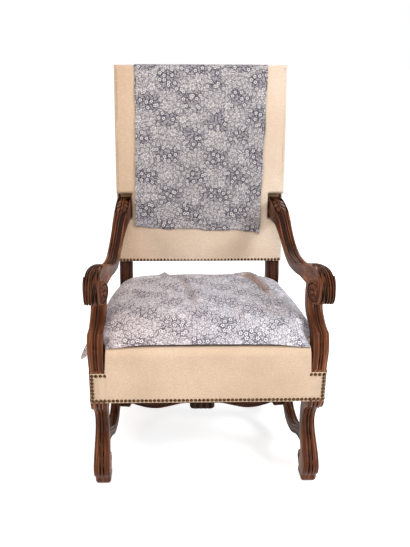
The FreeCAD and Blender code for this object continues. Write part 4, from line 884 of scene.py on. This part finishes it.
# a paler copy of the linen for the back, with painted shade on its left side
left_shaded_linen = linen_material("left_shaded_linen", srgb(230, 210, 188), srgb(214, 189, 164), left_shade=0.85)
cotton = print_material("printed_cotton", srgb(152, 146, 149), srgb(36, 32, 54), srgb(216, 211, 207),
                        0.85)
# painted light across the cushion: warm shade on its left, cool light on its right
side_light_ramp = [(0, (0.9, 0.83, 0.79)), (0.55, (0.84, 0.84, 0.85)), (1, (0.97, 0.98, 1))]
cushion_cotton = print_material("side_lit_cotton", srgb(204, 198, 203), srgb(56, 50, 68), srgb(248, 244, 246),
                          0.75, side_light_ramp)
brass = brass_material()
jute = coarse_material("jute_webbing", srgb(158, 124, 84), 260)
sacking = coarse_material("sacking", srgb(150, 118, 80), 380)
hair = coarse_material("horsehair", srgb(58, 44, 34), 700)
dust = coarse_material("dust_fabric", srgb(44, 40, 40), 500)
steel = steel_material()

kept_nodes = (
    (beech, "front_rail rear_rail side_rail_left side_rail_right"),
    (beech, "corner_blocks back_bottom_rail back_top_rail"),
    (steel, "corner_screws arm_screws"),
    (pegs, "rail_pegs stretcher_pegs back_rail_pegs arm_dowels"),
    (jute, "seat_webs_lengthwise seat_webs_crosswise back_webs_level back_webs_upright"),
    (sacking, "seat_hessian back_hessian"),
    (hair, "seat_pad back_pad"),
    (brass, "seat_nails seat_rear_nails back_front_nails back_rear_nails"),
)
for finish, names in kept_nodes:
    for name in names.split():
        for material_slot in nodes[name].material_slots:
            material_slot.link = "OBJECT"
            material_slot.material = finish


def dress(piece, finish, slot, *replaced):
    """Gives a piece its finish, hangs it under the root and hides the solids it stands for."""
    piece.data.materials.append(finish)
    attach(piece, "root")
    if replaced:
        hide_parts(*replaced)
    return piece


def carved(name, parts, node):
    """A carved walnut piece in place of its solid, with its edges sharp above an angle in degrees."""
    dress(mesh_object(name, parts, 38), walnut, "carved_walnut", node)


def pair(name, parts, node):
    """The same carved piece on both sides, each in place of its solid."""
    for side, data in (("right", parts), ("left", mirror_of(parts))):
        carved(f"{name}_{side}", data, f"{node}_{side}")


def shade_painted(parts, depth):
    """The same mesh data with more painted shade, for parts that stand in shade."""
    return (*parts[:3], parts[3] + depth)


pair("carved_front_leg", front_leg(), "front_leg")
# Painted shade darkens the rear posts, the stretchers and the boss, which stand in shade; on the rear
# posts it stands partly for darker, dirtier wood as well.
pair("carved_rear_post", shade_painted(rear_post(), 1.1), "rear_post")
pair("moulded_side_stretcher", shade_painted(side_stretcher(), 0.6), "side_stretcher")
pair("moulded_cross_stretcher", shade_painted(cross_stretcher(), 0.9), "cross_stretcher")
pair("carved_arm_support", arm_support(), "arm_support")
pair("carved_arm", joined(arm(), ear_leaf()), "arm")
carved("carved_boss", shade_painted(boss(), 0.9), "stretcher_boss")


# Upholstery: a fine grid over the top, with skirts that turn down at its edges

def padded_box(columns, rows, surface, skirt_rows, skirt):
    """Mesh data of a grid with a skirt of further rows round its whole edge.

    surface(i, j) gives a grid point and its flat coordinates; skirt(i, j, out, k) gives those of
    row k of the skirt at the edge point (i, j), with its outward direction.
    """
    edge = grid_edge(rows, columns)
    made = [surface(i, j) for j in range(rows) for i in range(columns)]
    for k in range(skirt_rows):
        for i, j in edge:
            out = (int(i == columns - 1) - int(i == 0), int(j == rows - 1) - int(j == 0))
            made.append(skirt(i, j, out, k))
    rim = [j * columns + i for i, j in edge]
    base, loop = rows * columns, len(edge)
    faces = grid_faces(rows, columns)
    faces += [(rim[n], base + n, base + (n + 1) % loop, rim[(n + 1) % loop]) for n in range(loop)]
    faces += grid_faces(skirt_rows, loop, closed=True, start=base, turned=True)
    vertices, uvs = (np.array(values) for values in zip(*made))
    return vertices, faces, uvs, np.zeros(len(vertices))


def waviness(x, y, size, seed):
    """A gentle repeatable unevenness between about -1 and 1."""
    total = 0
    for k in range(4):
        angle = seed * 1.7 + k * 2.4
        wave = (x * math.cos(angle) + y * math.sin(angle)) / size * (1 + 0.45 * k)
        total += math.sin(wave * 2 * math.pi + seed * (k + 1) * 2.1) / (k + 1)
    return total / 2


def seat_half(y):
    """Half the seat's width at that depth."""
    return seat_front_half - (seat_front_half - seat_rear_half) / seat_depth * y


def seat_upholstery():
    """The stuffed seat under its linen, tucked round the supports and the rear posts."""
    columns, rows, shoulder = 150, 140, 24
    arc, skirt_rows = 7, 37

    def plan(i, j):
        y = shoulder + (seat_depth - 2 * shoulder) * j / (rows - 1)
        return (seat_half(y) - shoulder) * (2 * i / (columns - 1) - 1), y

    def tuck(x, y):
        support = step(abs(x), 272, 276.5) * fall(y, 51, 56)
        post = step(abs(x), 224, 228) * step(y, 526, 530.5)
        return max(support, post)

    def surface(i, j):
        x, y = plan(i, j)
        z = cover_top + 0.7 * waviness(x, y, 210, 1) - 0.8
        return (x, y, z + (ledge - z) * tuck(x, y)), (x * mm, y * mm)

    def skirt(i, j, out, k):
        x, y = plan(i, j)
        full = tuck(x + out[0] * 12, y + out[1] * 12) < 0.5
        r, top = (shoulder, cover_top) if full else (2, ledge)
        if k < arc:
            angle = math.pi / 2 * k / (arc - 1)
            away = shoulder - r + r * math.sin(angle)
            z = top - r * (1 - math.cos(angle))
            drop = r * angle + shoulder - r
        else:
            away = shoulder
            z = top - r + (cover_low - top + r) * (k - arc + 1) / (skirt_rows - arc)
            drop = shoulder + r * 0.57 + (top - r - z)
        if full:
            bulge = math.sin(math.pi * min(1, max(0, (z - cover_low) / (cover_top - cover_low))))
            away += bulge * (0.6 * waviness(x + y, z, 70, 3) + (1.6 if out[1] <= 0 else 0.6))
        x += out[0] * away
        y += out[1] * away
        return (x, y, max(z, cover_low)), ((x + 0.6 * out[0] * drop) * mm, (y + out[1] * drop) * mm)

    return padded_box(columns, rows, surface, skirt_rows, skirt)


seat = mesh_object("seat_upholstery", seat_upholstery())
dress(seat, linen, "linen", "seat_cover", "seat_pad")


def panel_bulge(rise):
    """Depth of the panel's front face at a rise; forward is negative."""
    half, crown = panel_high / 2, 12
    radius = (half * half + crown**2) / (2 * crown)
    return radius - crown - math.sqrt(radius**2 - (rise - half) ** 2)


def back_upholstery():
    """The stuffed front, sides and top of the back, tucked round the arms' rear blocks."""
    columns, rows, r = 140, 158, 8
    arc, skirt_rows = 5, 17
    turned_in = 18                      # how far the cover goes in behind the frame

    def plan(i, j):
        return ((panel_half - r) * (2 * i / (columns - 1) - 1),
                r * 0.4 + (panel_high - r * 1.4) * j / (rows - 1))

    def tuck(x, rise):
        z = rake_point(0, rise)[1]
        return step(abs(x), 222.5, 227) * step(z, 647, 653) * fall(z, 730, 736)

    def surface(i, j):
        x, rise = plan(i, j)
        depth = panel_bulge(rise) - 2.2 * (1 - (x / panel_half) ** 4) + 0.7 * waviness(x, rise, 190, 5)
        depth += (22 - depth) * tuck(x, rise)
        return (x, *rake_point(depth, rise)), (x * mm, rise * mm)

    def skirt(i, j, out, k):
        x, rise = plan(i, j)
        start = panel_bulge(rise)
        least = start + (24 - start) * tuck(x, rise) if out[0] else start
        if k < arc:
            angle = math.pi / 2 * k / (arc - 1)
            away, depth, drop = r * math.sin(angle), start + r * (1 - math.cos(angle)), r * angle
        elif k < skirt_rows - 1:
            share = (k - arc + 1) / (skirt_rows - 1 - arc)
            away, depth = r, start + r + (panel_deep - start - r) * share
            drop = r * 0.57 + depth - start
        else:
            away, depth, drop = r - turned_in, panel_deep - 0.5, r + panel_deep + turned_in
        up = away if out[1] > 0 else away * 0.4
        return ((x + out[0] * away, *rake_point(max(depth, least), rise + out[1] * up)),
                ((x + out[0] * drop) * mm, (rise + out[1] * drop) * mm))

    return padded_box(columns, rows, surface, skirt_rows, skirt)


back = mesh_object("back_upholstery", back_upholstery())
dress(back, left_shaded_linen, "linen", "back_front_cover", "back_pad")


def double_sheet(columns, rows, place, kept=lambda i, j: True):
    """Mesh data of a thin sheet: two layers of a grid, closed along every edge.

    place(i, j, layer) gives a point and its flat coordinates; kept(i, j) is false where the sheet
    is cut away.
    """
    made = [place(i, j, layer) for layer in (0, 1) for j in range(rows) for i in range(columns)]
    base = rows * columns
    faces, border = [], {}
    for n, quad in enumerate(grid_faces(rows, columns)):
        if kept(n % (columns - 1), n // (columns - 1)):
            faces += [quad, tuple(base + q for q in reversed(quad))]
            for a, b in zip(quad, quad[1:] + quad[:1]):
                if not border.pop((b, a), False):
                    border[a, b] = True
    faces += [(b, a, base + a, base + b) for a, b in border]
    used = sorted({v for f in faces for v in f})
    number = {v: n for n, v in enumerate(used)}
    vertices, uvs = (np.array(values)[used] for values in zip(*made))
    return vertices, [tuple(number[v] for v in f) for f in faces], uvs, np.zeros(len(used))


def rear_cover():
    """The flat linen sheet over the rear of the back, drawn tight between its nails."""
    columns, rows, nail_step = 90, 100, 11.2

    def place(i, j, layer):
        x = panel_half * (2 * i / (columns - 1) - 1)
        rise = panel_high * j / (rows - 1)
        edge = min(panel_half - abs(x), rise, panel_high - rise)
        slack = 0.25 * math.sin(x / nail_step * math.pi) * fall(edge, 3, 16) - 1.2 * step(edge, 12, 90)
        depth = panel_deep + 0.15 + (1.3 + slack * 0.9 if layer else 0)
        return (x, *rake_point(depth, rise)), (x * mm, rise * mm)

    return double_sheet(columns, rows, place)


rear = mesh_object("back_rear_sheet", rear_cover(), 50)
dress(rear, linen, "linen", "back_rear_cover")


def dust_sheet():
    """The dark cloth tacked under the seat, sagging a little in the middle."""
    columns, rows, inset, level, sag = 60, 60, 16, 270.6, 5

    def place(i, j, layer):
        y = inset + (seat_depth - 2 * inset) * j / (rows - 1)
        half = seat_half(y) - inset
        x = half * (2 * i / (columns - 1) - 1)
        edge = min(half - abs(x), y - inset, seat_depth - inset - y)
        return (x, y, level - sag * step(edge, 0, 190) - 0.8 * layer), (x * mm, y * mm)

    def kept(i, j):
        middle = (columns - 1) / 2
        return abs(i + 0.5 - middle) <= middle - 5 or 5 <= j <= rows - 7

    return double_sheet(columns, rows, place, kept)


under = mesh_object("dust_sheet", dust_sheet(), 50)
dress(under, dust, "dust_fabric", "dust_cloth")


# The printed cloth over the back

front_points = 110


def cloth_path(offset):
    """Side view of the cloth's way from the front hem over the top to the rear hem."""
    front_radius, rear_radius = 8, 4.5
    shoulder = panel_high - front_radius
    points = [(panel_bulge(rise) - 2.2 - offset, rise)
              for rise in np.linspace(panel_high - front_drop - 30, shoulder, front_points)]
    start = panel_bulge(shoulder) - 2.2
    reach = front_radius + offset
    points += [(start + reach * (1 - math.cos(a)) - offset, shoulder + reach * math.sin(a))
               for a in np.radians(np.linspace(0, 90, 8)[1:])]
    points += [(depth, panel_high + offset)
               for depth in np.linspace(points[-1][0], panel_deep - 2, 12)[1:]]
    reach = rear_radius + offset
    points += [(panel_deep - 2 + reach * math.sin(a), panel_high - rear_radius + reach * math.cos(a))
               for a in np.radians(np.linspace(0, 90, 6)[1:])]
    points += [(panel_deep + 2.5 + offset, rise)
               for rise in np.linspace(panel_high - rear_radius, panel_high - rear_drop, 70)[1:]]
    return np.array(points)


def back_cloth(path, length):
    """The cloth over the back: a slanted wavy hem in front, one side drifting in, soft ripples."""
    top_at = np.interp(panel_high - 1, path[:front_points, 1], length[:front_points])
    columns, rows = 110, 230
    vertices, uvs = [], []
    for i in range(columns):
        share = i / (columns - 1)
        hem = 30 - 15 * share + 2.2 * math.sin(share * 17 + 0.6) + 1.2 * math.sin(share * 41)
        hem -= 6 * step(share, 0.965, 1) - 1.5 * fall(share, 0, 0.04)
        rim = fall(share, 0, 0.02) + step(share, 0.98, 1)
        for j in range(rows):
            s = hem + (length[-1] - hem) * j / (rows - 1)
            depth, rise = np.interp(s, length, path[:, 0]), np.interp(s, length, path[:, 1])
            down = max(0, (top_at - s) / top_at)
            right = cloth_half - 17 * down + 1.6 * math.sin(down * 23)
            left = -cloth_half + 3 * math.sin(down * 5) + math.sin(down * 31)
            x = left + (right - left) * share
            if s < top_at:
                lift = (1.6 + 1.4 * waviness(x * 1.6, s * 0.5, 120, 8)) * step(down, 0.02, 0.25)
                lift += 1.5 * rim * step(down, 0.05, 0.2)
                lift += 2.5 * step(down, 0.955, 1) * (0.6 + 0.4 * math.sin(share * 19))
            else:
                behind = (s - length[-1] + rear_drop) / rear_drop
                lift = -(1.2 + 1.4 * waviness(x * 1.6, s * 0.5, 110, 11)) * step(behind, 0.05, 0.3)
            vertices.append((x, *rake_point(depth - lift, rise)))
            uvs.append((x * mm, s * mm))
    faces = grid_faces(columns, rows, turned=True)
    return np.array(vertices), faces, np.array(uvs), np.zeros(len(vertices))


cloth_line = cloth_path(1)
cloth_lengths = run_lengths(cloth_line)
cloth = mesh_object("back_cloth_print", back_cloth(cloth_line, cloth_lengths))
thick = cloth.modifiers.new("thickness", "SOLIDIFY")
thick.thickness = 0.0009
thick.offset = 1
dress(cloth, cotton, "printed_cotton", "back_cloth")


# The loose cushion

def gather(value, centre, width):
    """A soft round bump of 1 at the centre."""
    return math.exp(-((value - centre) / width) ** 2)


def cushion_plan(u, v):
    """Plan of the cushion: drawn in between its corners, and notched beside the arm supports."""
    front, rear = 8 + 6 * (1 - u * u), 506 - 12 * (1 - u**4)
    y = front + (rear - front) * (v + 1) / 2
    half = 294 - 34 * step(y, 110, 506) - 21 * fall(y, 56, 92)
    half += 6 * step(v, 0.86, 1)
    if u < 0:
        half += 17 * gather(y, 300, 150)
    return u * half, y


def cushion_crown(u, v):
    """Height of the cushion's top above its seam, as a share of the crown."""
    return max(0, (1 - abs(u) ** 4.6) * (1 - abs(v) ** 4.2)) ** 0.56


creases = (
    # path over the plan, height, width, side of the path that sinks, how much it sinks, its shade
    (((92, 420), (140, 412), (166, 372), (182, 305), (196, 243), (206, 180)), 11, 9, -1, 5, 1),
    (((-59, 430), (-44, 320), (-26, 190), (-8, 90)), 4, 15, -1, 7, 0.12),
    (((-122, 440), (-108, 390), (-96, 330)), 8, 13, 1, 3, 0.12),
    (((-232, 300), (-190, 250), (-150, 170)), 4, 13, -1, 3, 0.12),
    (((120, 30), (96, 120), (88, 190)), 3, 16, 1, 3, 0.12),
    (((236, 90), (196, 110), (150, 150)), 3.5, 13, 1, 3, 0.12),
)


def beside(x, y, path):
    """Signed distance from a path on the cushion, and the share of the way along it."""
    nearest, share = math.inf, 0
    for k, ((x0, y0), (x1, y1)) in enumerate(zip(path, path[1:])):
        dx, dy = x1 - x0, y1 - y0
        t = min(1, max(0, ((x - x0) * dx + (y - y0) * dy) / (dx * dx + dy * dy)))
        away = math.hypot(x - x0 - t * dx, y - y0 - t * dy)
        if away < abs(nearest):
            nearest = math.copysign(away, dx * (y - y0) - dy * (x - x0))
            share = (k + t) / (len(path) - 1)
    return nearest, share


def creased(x, y):
    """Height of the folds at a point of the cushion's top, and the shade in the deep one."""
    height, shade, strength = 0, 0, 1.35
    for path, rise, width, side, sink, tone in creases:
        away, share = beside(x, y, path)
        if abs(away) > 4 * width:
            continue
        away *= side
        fade = min(1, 4 * share, 3 * (1 - share))
        height += strength * rise * fade * gather(away, -0.3 * width, width)
        height -= strength * sink * fade * gather(away, 1.1 * width, 0.8 * width)
        shade = max(shade, tone * fade * gather(away, 0.8 * width, 0.75 * width))
    return height, shade


def cushion_shape():
    """Two sewn faces over a square grid: a crowned top with folds, a flat underside, a knife edge.

    Gives the mesh data, and for each point how free it is to move as cloth.
    """
    n = 128
    base, seam, crown = 430.6, 438, 507
    vertices, free, shades = [], [], []
    for upper in (0, 1):
        for v in (2 * j / (n - 1) - 1 for j in range(n)):
            for u in (2 * i / (n - 1) - 1 for i in range(n)):
                x, y = cushion_plan(u, v)
                rim, swell, shade = max(abs(u), abs(v)), cushion_crown(u, v), 0
                droop = 8 * step(abs(u), 0.6, 1) * fall(v, -1, -0.6) + 6 * step(-u, 0.94, 1)
                edge_z = seam - droop * step(rim, 0.9, 1)
                if upper:
                    height, shade = creased(x, y)
                    z = edge_z + (crown - edge_z) * swell
                    z += 1.5 * waviness(x, y, 150, 2) * min(1, swell * 2)
                    z += height * min(1, 2.5 * swell)
                else:
                    z = base + (edge_z - base) * step(rim, 0.93, 1)
                # the tied corner at the left, which hangs out beside the support
                flap = gather(v, -0.76, 0.085) * step(-u, 0.86, 1)
                x -= 66 * flap
                y -= 22 * flap
                z -= 46 * flap * step(-x, 300, 336)
                if -x < 314:
                    z = max(z, base + 0.8 * upper)
                vertices.append((x, y, z))
                shades.append(shade)
                free.append(upper * min(1, (1 - rim) * 14))
    faces, base_index = [], n * n
    for above, below in zip(grid_faces(n, n, start=base_index), grid_faces(n, n, turned=True)):
        faces += [below, above]
    edge = [j * n + i for i, j in grid_edge(n, n)]
    faces += [(a, b, base_index + b, base_index + a) for a, b in zip(edge, edge[1:] + edge[:1])]
    return (np.array(vertices), faces, printed_lengths(vertices, n), np.array(shades)), free


def printed_lengths(vertices, n):
    """Flat coordinates measured over the cover's own surface, so that the print doesn't stretch."""
    faces = np.array(vertices).reshape(2, n, n, 3)
    across = np.linalg.norm(np.diff(faces, axis=2), axis=3)
    along = np.linalg.norm(np.diff(faces, axis=1), axis=3)
    u = np.concatenate([np.zeros((2, n, 1)), np.cumsum(across, axis=2)], axis=2)
    v = np.concatenate([np.zeros((2, 1, n)), np.cumsum(along, axis=1)], axis=1)
    u -= u[:, :, n // 2:n // 2 + 1]
    v -= v[:, n // 2:n // 2 + 1, :]
    v[0] += 700                         # another stretch of the print on the underside
    return np.stack([u, v], axis=-1).reshape(-1, 2) * mm


cover_cloth = {
    "quality": 6, "mass": 0.15, "air_damping": 4,
    "tension_stiffness": 25, "compression_stiffness": 12, "shear_stiffness": 6, "bending_stiffness": 0.35,
    "use_pressure": True, "uniform_pressure_force": 3, "shrink_min": -0.09,
    "vertex_group_mass": "held", "pin_stiffness": 1,
}


def settle(piece, free, frames=20, reach=0.009):
    """Lets the cushion's cover slacken and pucker as cloth, within a small reach of its shape."""
    start = np.empty(len(piece.data.vertices) * 3)
    piece.data.vertices.foreach_get("co", start)
    group = piece.vertex_groups.new(name="held")
    for index, weight in enumerate(free):
        if weight < 0.999:
            group.add([index], float(1 - weight), "REPLACE")
    run = piece.modifiers.new("settle", "CLOTH")
    for key, value in cover_cloth.items():
        setattr(run.settings, key, value)
    run.settings.effector_weights.gravity = 0
    run.collision_settings.use_collision = False
    run.point_cache.frame_start = 1
    run.point_cache.frame_end = frames
    scene = bpy.context.scene
    for number in range(1, frames + 1):
        scene.frame_set(number)
    settled = piece.evaluated_get(bpy.context.evaluated_depsgraph_get())
    end = np.empty_like(start)
    settled.to_mesh().vertices.foreach_get("co", end)
    settled.to_mesh_clear()
    piece.modifiers.remove(run)
    piece.vertex_groups.remove(group)
    scene.frame_set(1)
    move = (end - start).reshape(-1, 3)
    far = np.linalg.norm(move, axis=1)
    move *= np.minimum(1, reach / np.maximum(far, 1e-9))[:, None]
    piece.data.vertices.foreach_set("co", (start.reshape(-1, 3) + move).ravel())
    piece.data.update()


cushion_parts, cushion_free = cushion_shape()
cushion = mesh_object("printed_cushion", cushion_parts)
dress(cushion, cushion_cotton, "printed_cotton", "seat_cushion")
settle(cushion, cushion_free)


# Floor, light and camera, in metres

def studio():
    """A pale floor, a white surround and four broad soft lights."""
    floor = bpy.data.objects.new("floor", bpy.data.meshes.new("floor"))
    floor.data.from_pydata([(-30, -30, 0), (30, -30, 0), (30, 60, 0), (-30, 60, 0)], [], [(0, 1, 2, 3)])
    bpy.context.scene.collection.objects.link(floor)
    t = new_material("floor_paint")
    mottle = t.mix(t.noise(t.place(), 3), (0.8, 0.8, 0.8), (0.83, 0.83, 0.83))
    paint = t.principled(Base_Color=mottle, Roughness=0.9, Specular_IOR_Level=0.1)
    dark = t.make("Emission", {"Color": (0, 0, 0), "Strength": 0})
    glow = t.make("Emission", {"Color": (1, 1, 1), "Strength": 0.62})
    seen = t.make("MixShader", {0: t.background_rays(), 1: dark, 2: glow})
    floor.data.materials.append(t.finish(t.make("AddShader", {0: paint, 1: seen})))

    t = Tree(bpy.data.worlds.new("surround"), "OutputWorld")
    lit = t.make("Background", {0: (0.93, 0.96, 1), 1: 0.55})
    white = t.make("Background", {0: (1, 1, 1), 1: 1})
    mixed = t.make("MixShader", {0: t.background_rays(), 1: lit, 2: white})
    bpy.context.scene.world = t.finish(mixed)

    aim = Vector((0, -0.05, 0.55))
    # name, place, size, watts, colour
    lamps = (
        ("window_light", (2.3, -1.8, 2), 1, 62, (0.92, 0.95, 1)),
        ("room_light", (-2.3, -1.9, 1.7), 1, 24, (1, 0.82, 0.66)),
        ("ceiling_light", (-0.3, -1.2, 3.2), 1.6, 47, (1, 0.95, 0.91)),
        ("rear_light", (0.9, 3.2, 1.9), 1.8, 24, (1, 0.96, 0.92)),
    )
    for name, place, size, power, colour in lamps:
        lamp = bpy.data.lights.new(name, "AREA")
        lamp.shape, lamp.size, lamp.energy, lamp.color = "DISK", size, power, colour
        holder = bpy.data.objects.new(name, lamp)
        holder.location = place
        holder.rotation_mode = "QUATERNION"
        holder.rotation_quaternion = (aim - Vector(place)).to_track_quat("-Z", "Y")
        holder.visible_glossy = name != "ceiling_light"
        bpy.context.scene.collection.objects.link(holder)


def camera():
    """The photograph's viewpoint: just left of the middle, at shoulder height, looking down."""
    yaw, pitch, roll = (math.radians(angle) for angle in (1.6, 20.38, -0.25))
    width, height, focal = 410, 547, 647.07             # of the photograph, in pixels
    centre_x, centre_y = 185.85, 295.35
    level = math.cos(pitch)
    forward = Vector((math.sin(yaw) * level, math.cos(yaw) * level, -math.sin(pitch)))
    right = Vector((math.cos(yaw), -math.sin(yaw), 0))
    down = forward.cross(right)
    turned = right * math.cos(roll) + down * math.sin(roll)
    up = -(down * math.cos(roll) - right * math.sin(roll))
    lens = bpy.data.cameras.new("photo_camera")
    lens.sensor_width = 36
    lens.lens = focal / height * lens.sensor_width
    lens.shift_x = (width / 2 - centre_x) / height
    lens.shift_y = (centre_y - height / 2) / height
    lens.clip_end = 200
    holder = bpy.data.objects.new("photo_camera", lens)
    matrix = Matrix((turned, up, -forward)).transposed().to_4x4()
    matrix.translation = Vector(in_frame([(-104.91, -1553.43, 1160.16)])[0])
    holder.matrix_world = matrix
    bpy.context.scene.collection.objects.link(holder)
    bpy.context.scene.camera = holder


studio()
camera()
bpy.context.scene.view_settings.view_transform = "Standard"
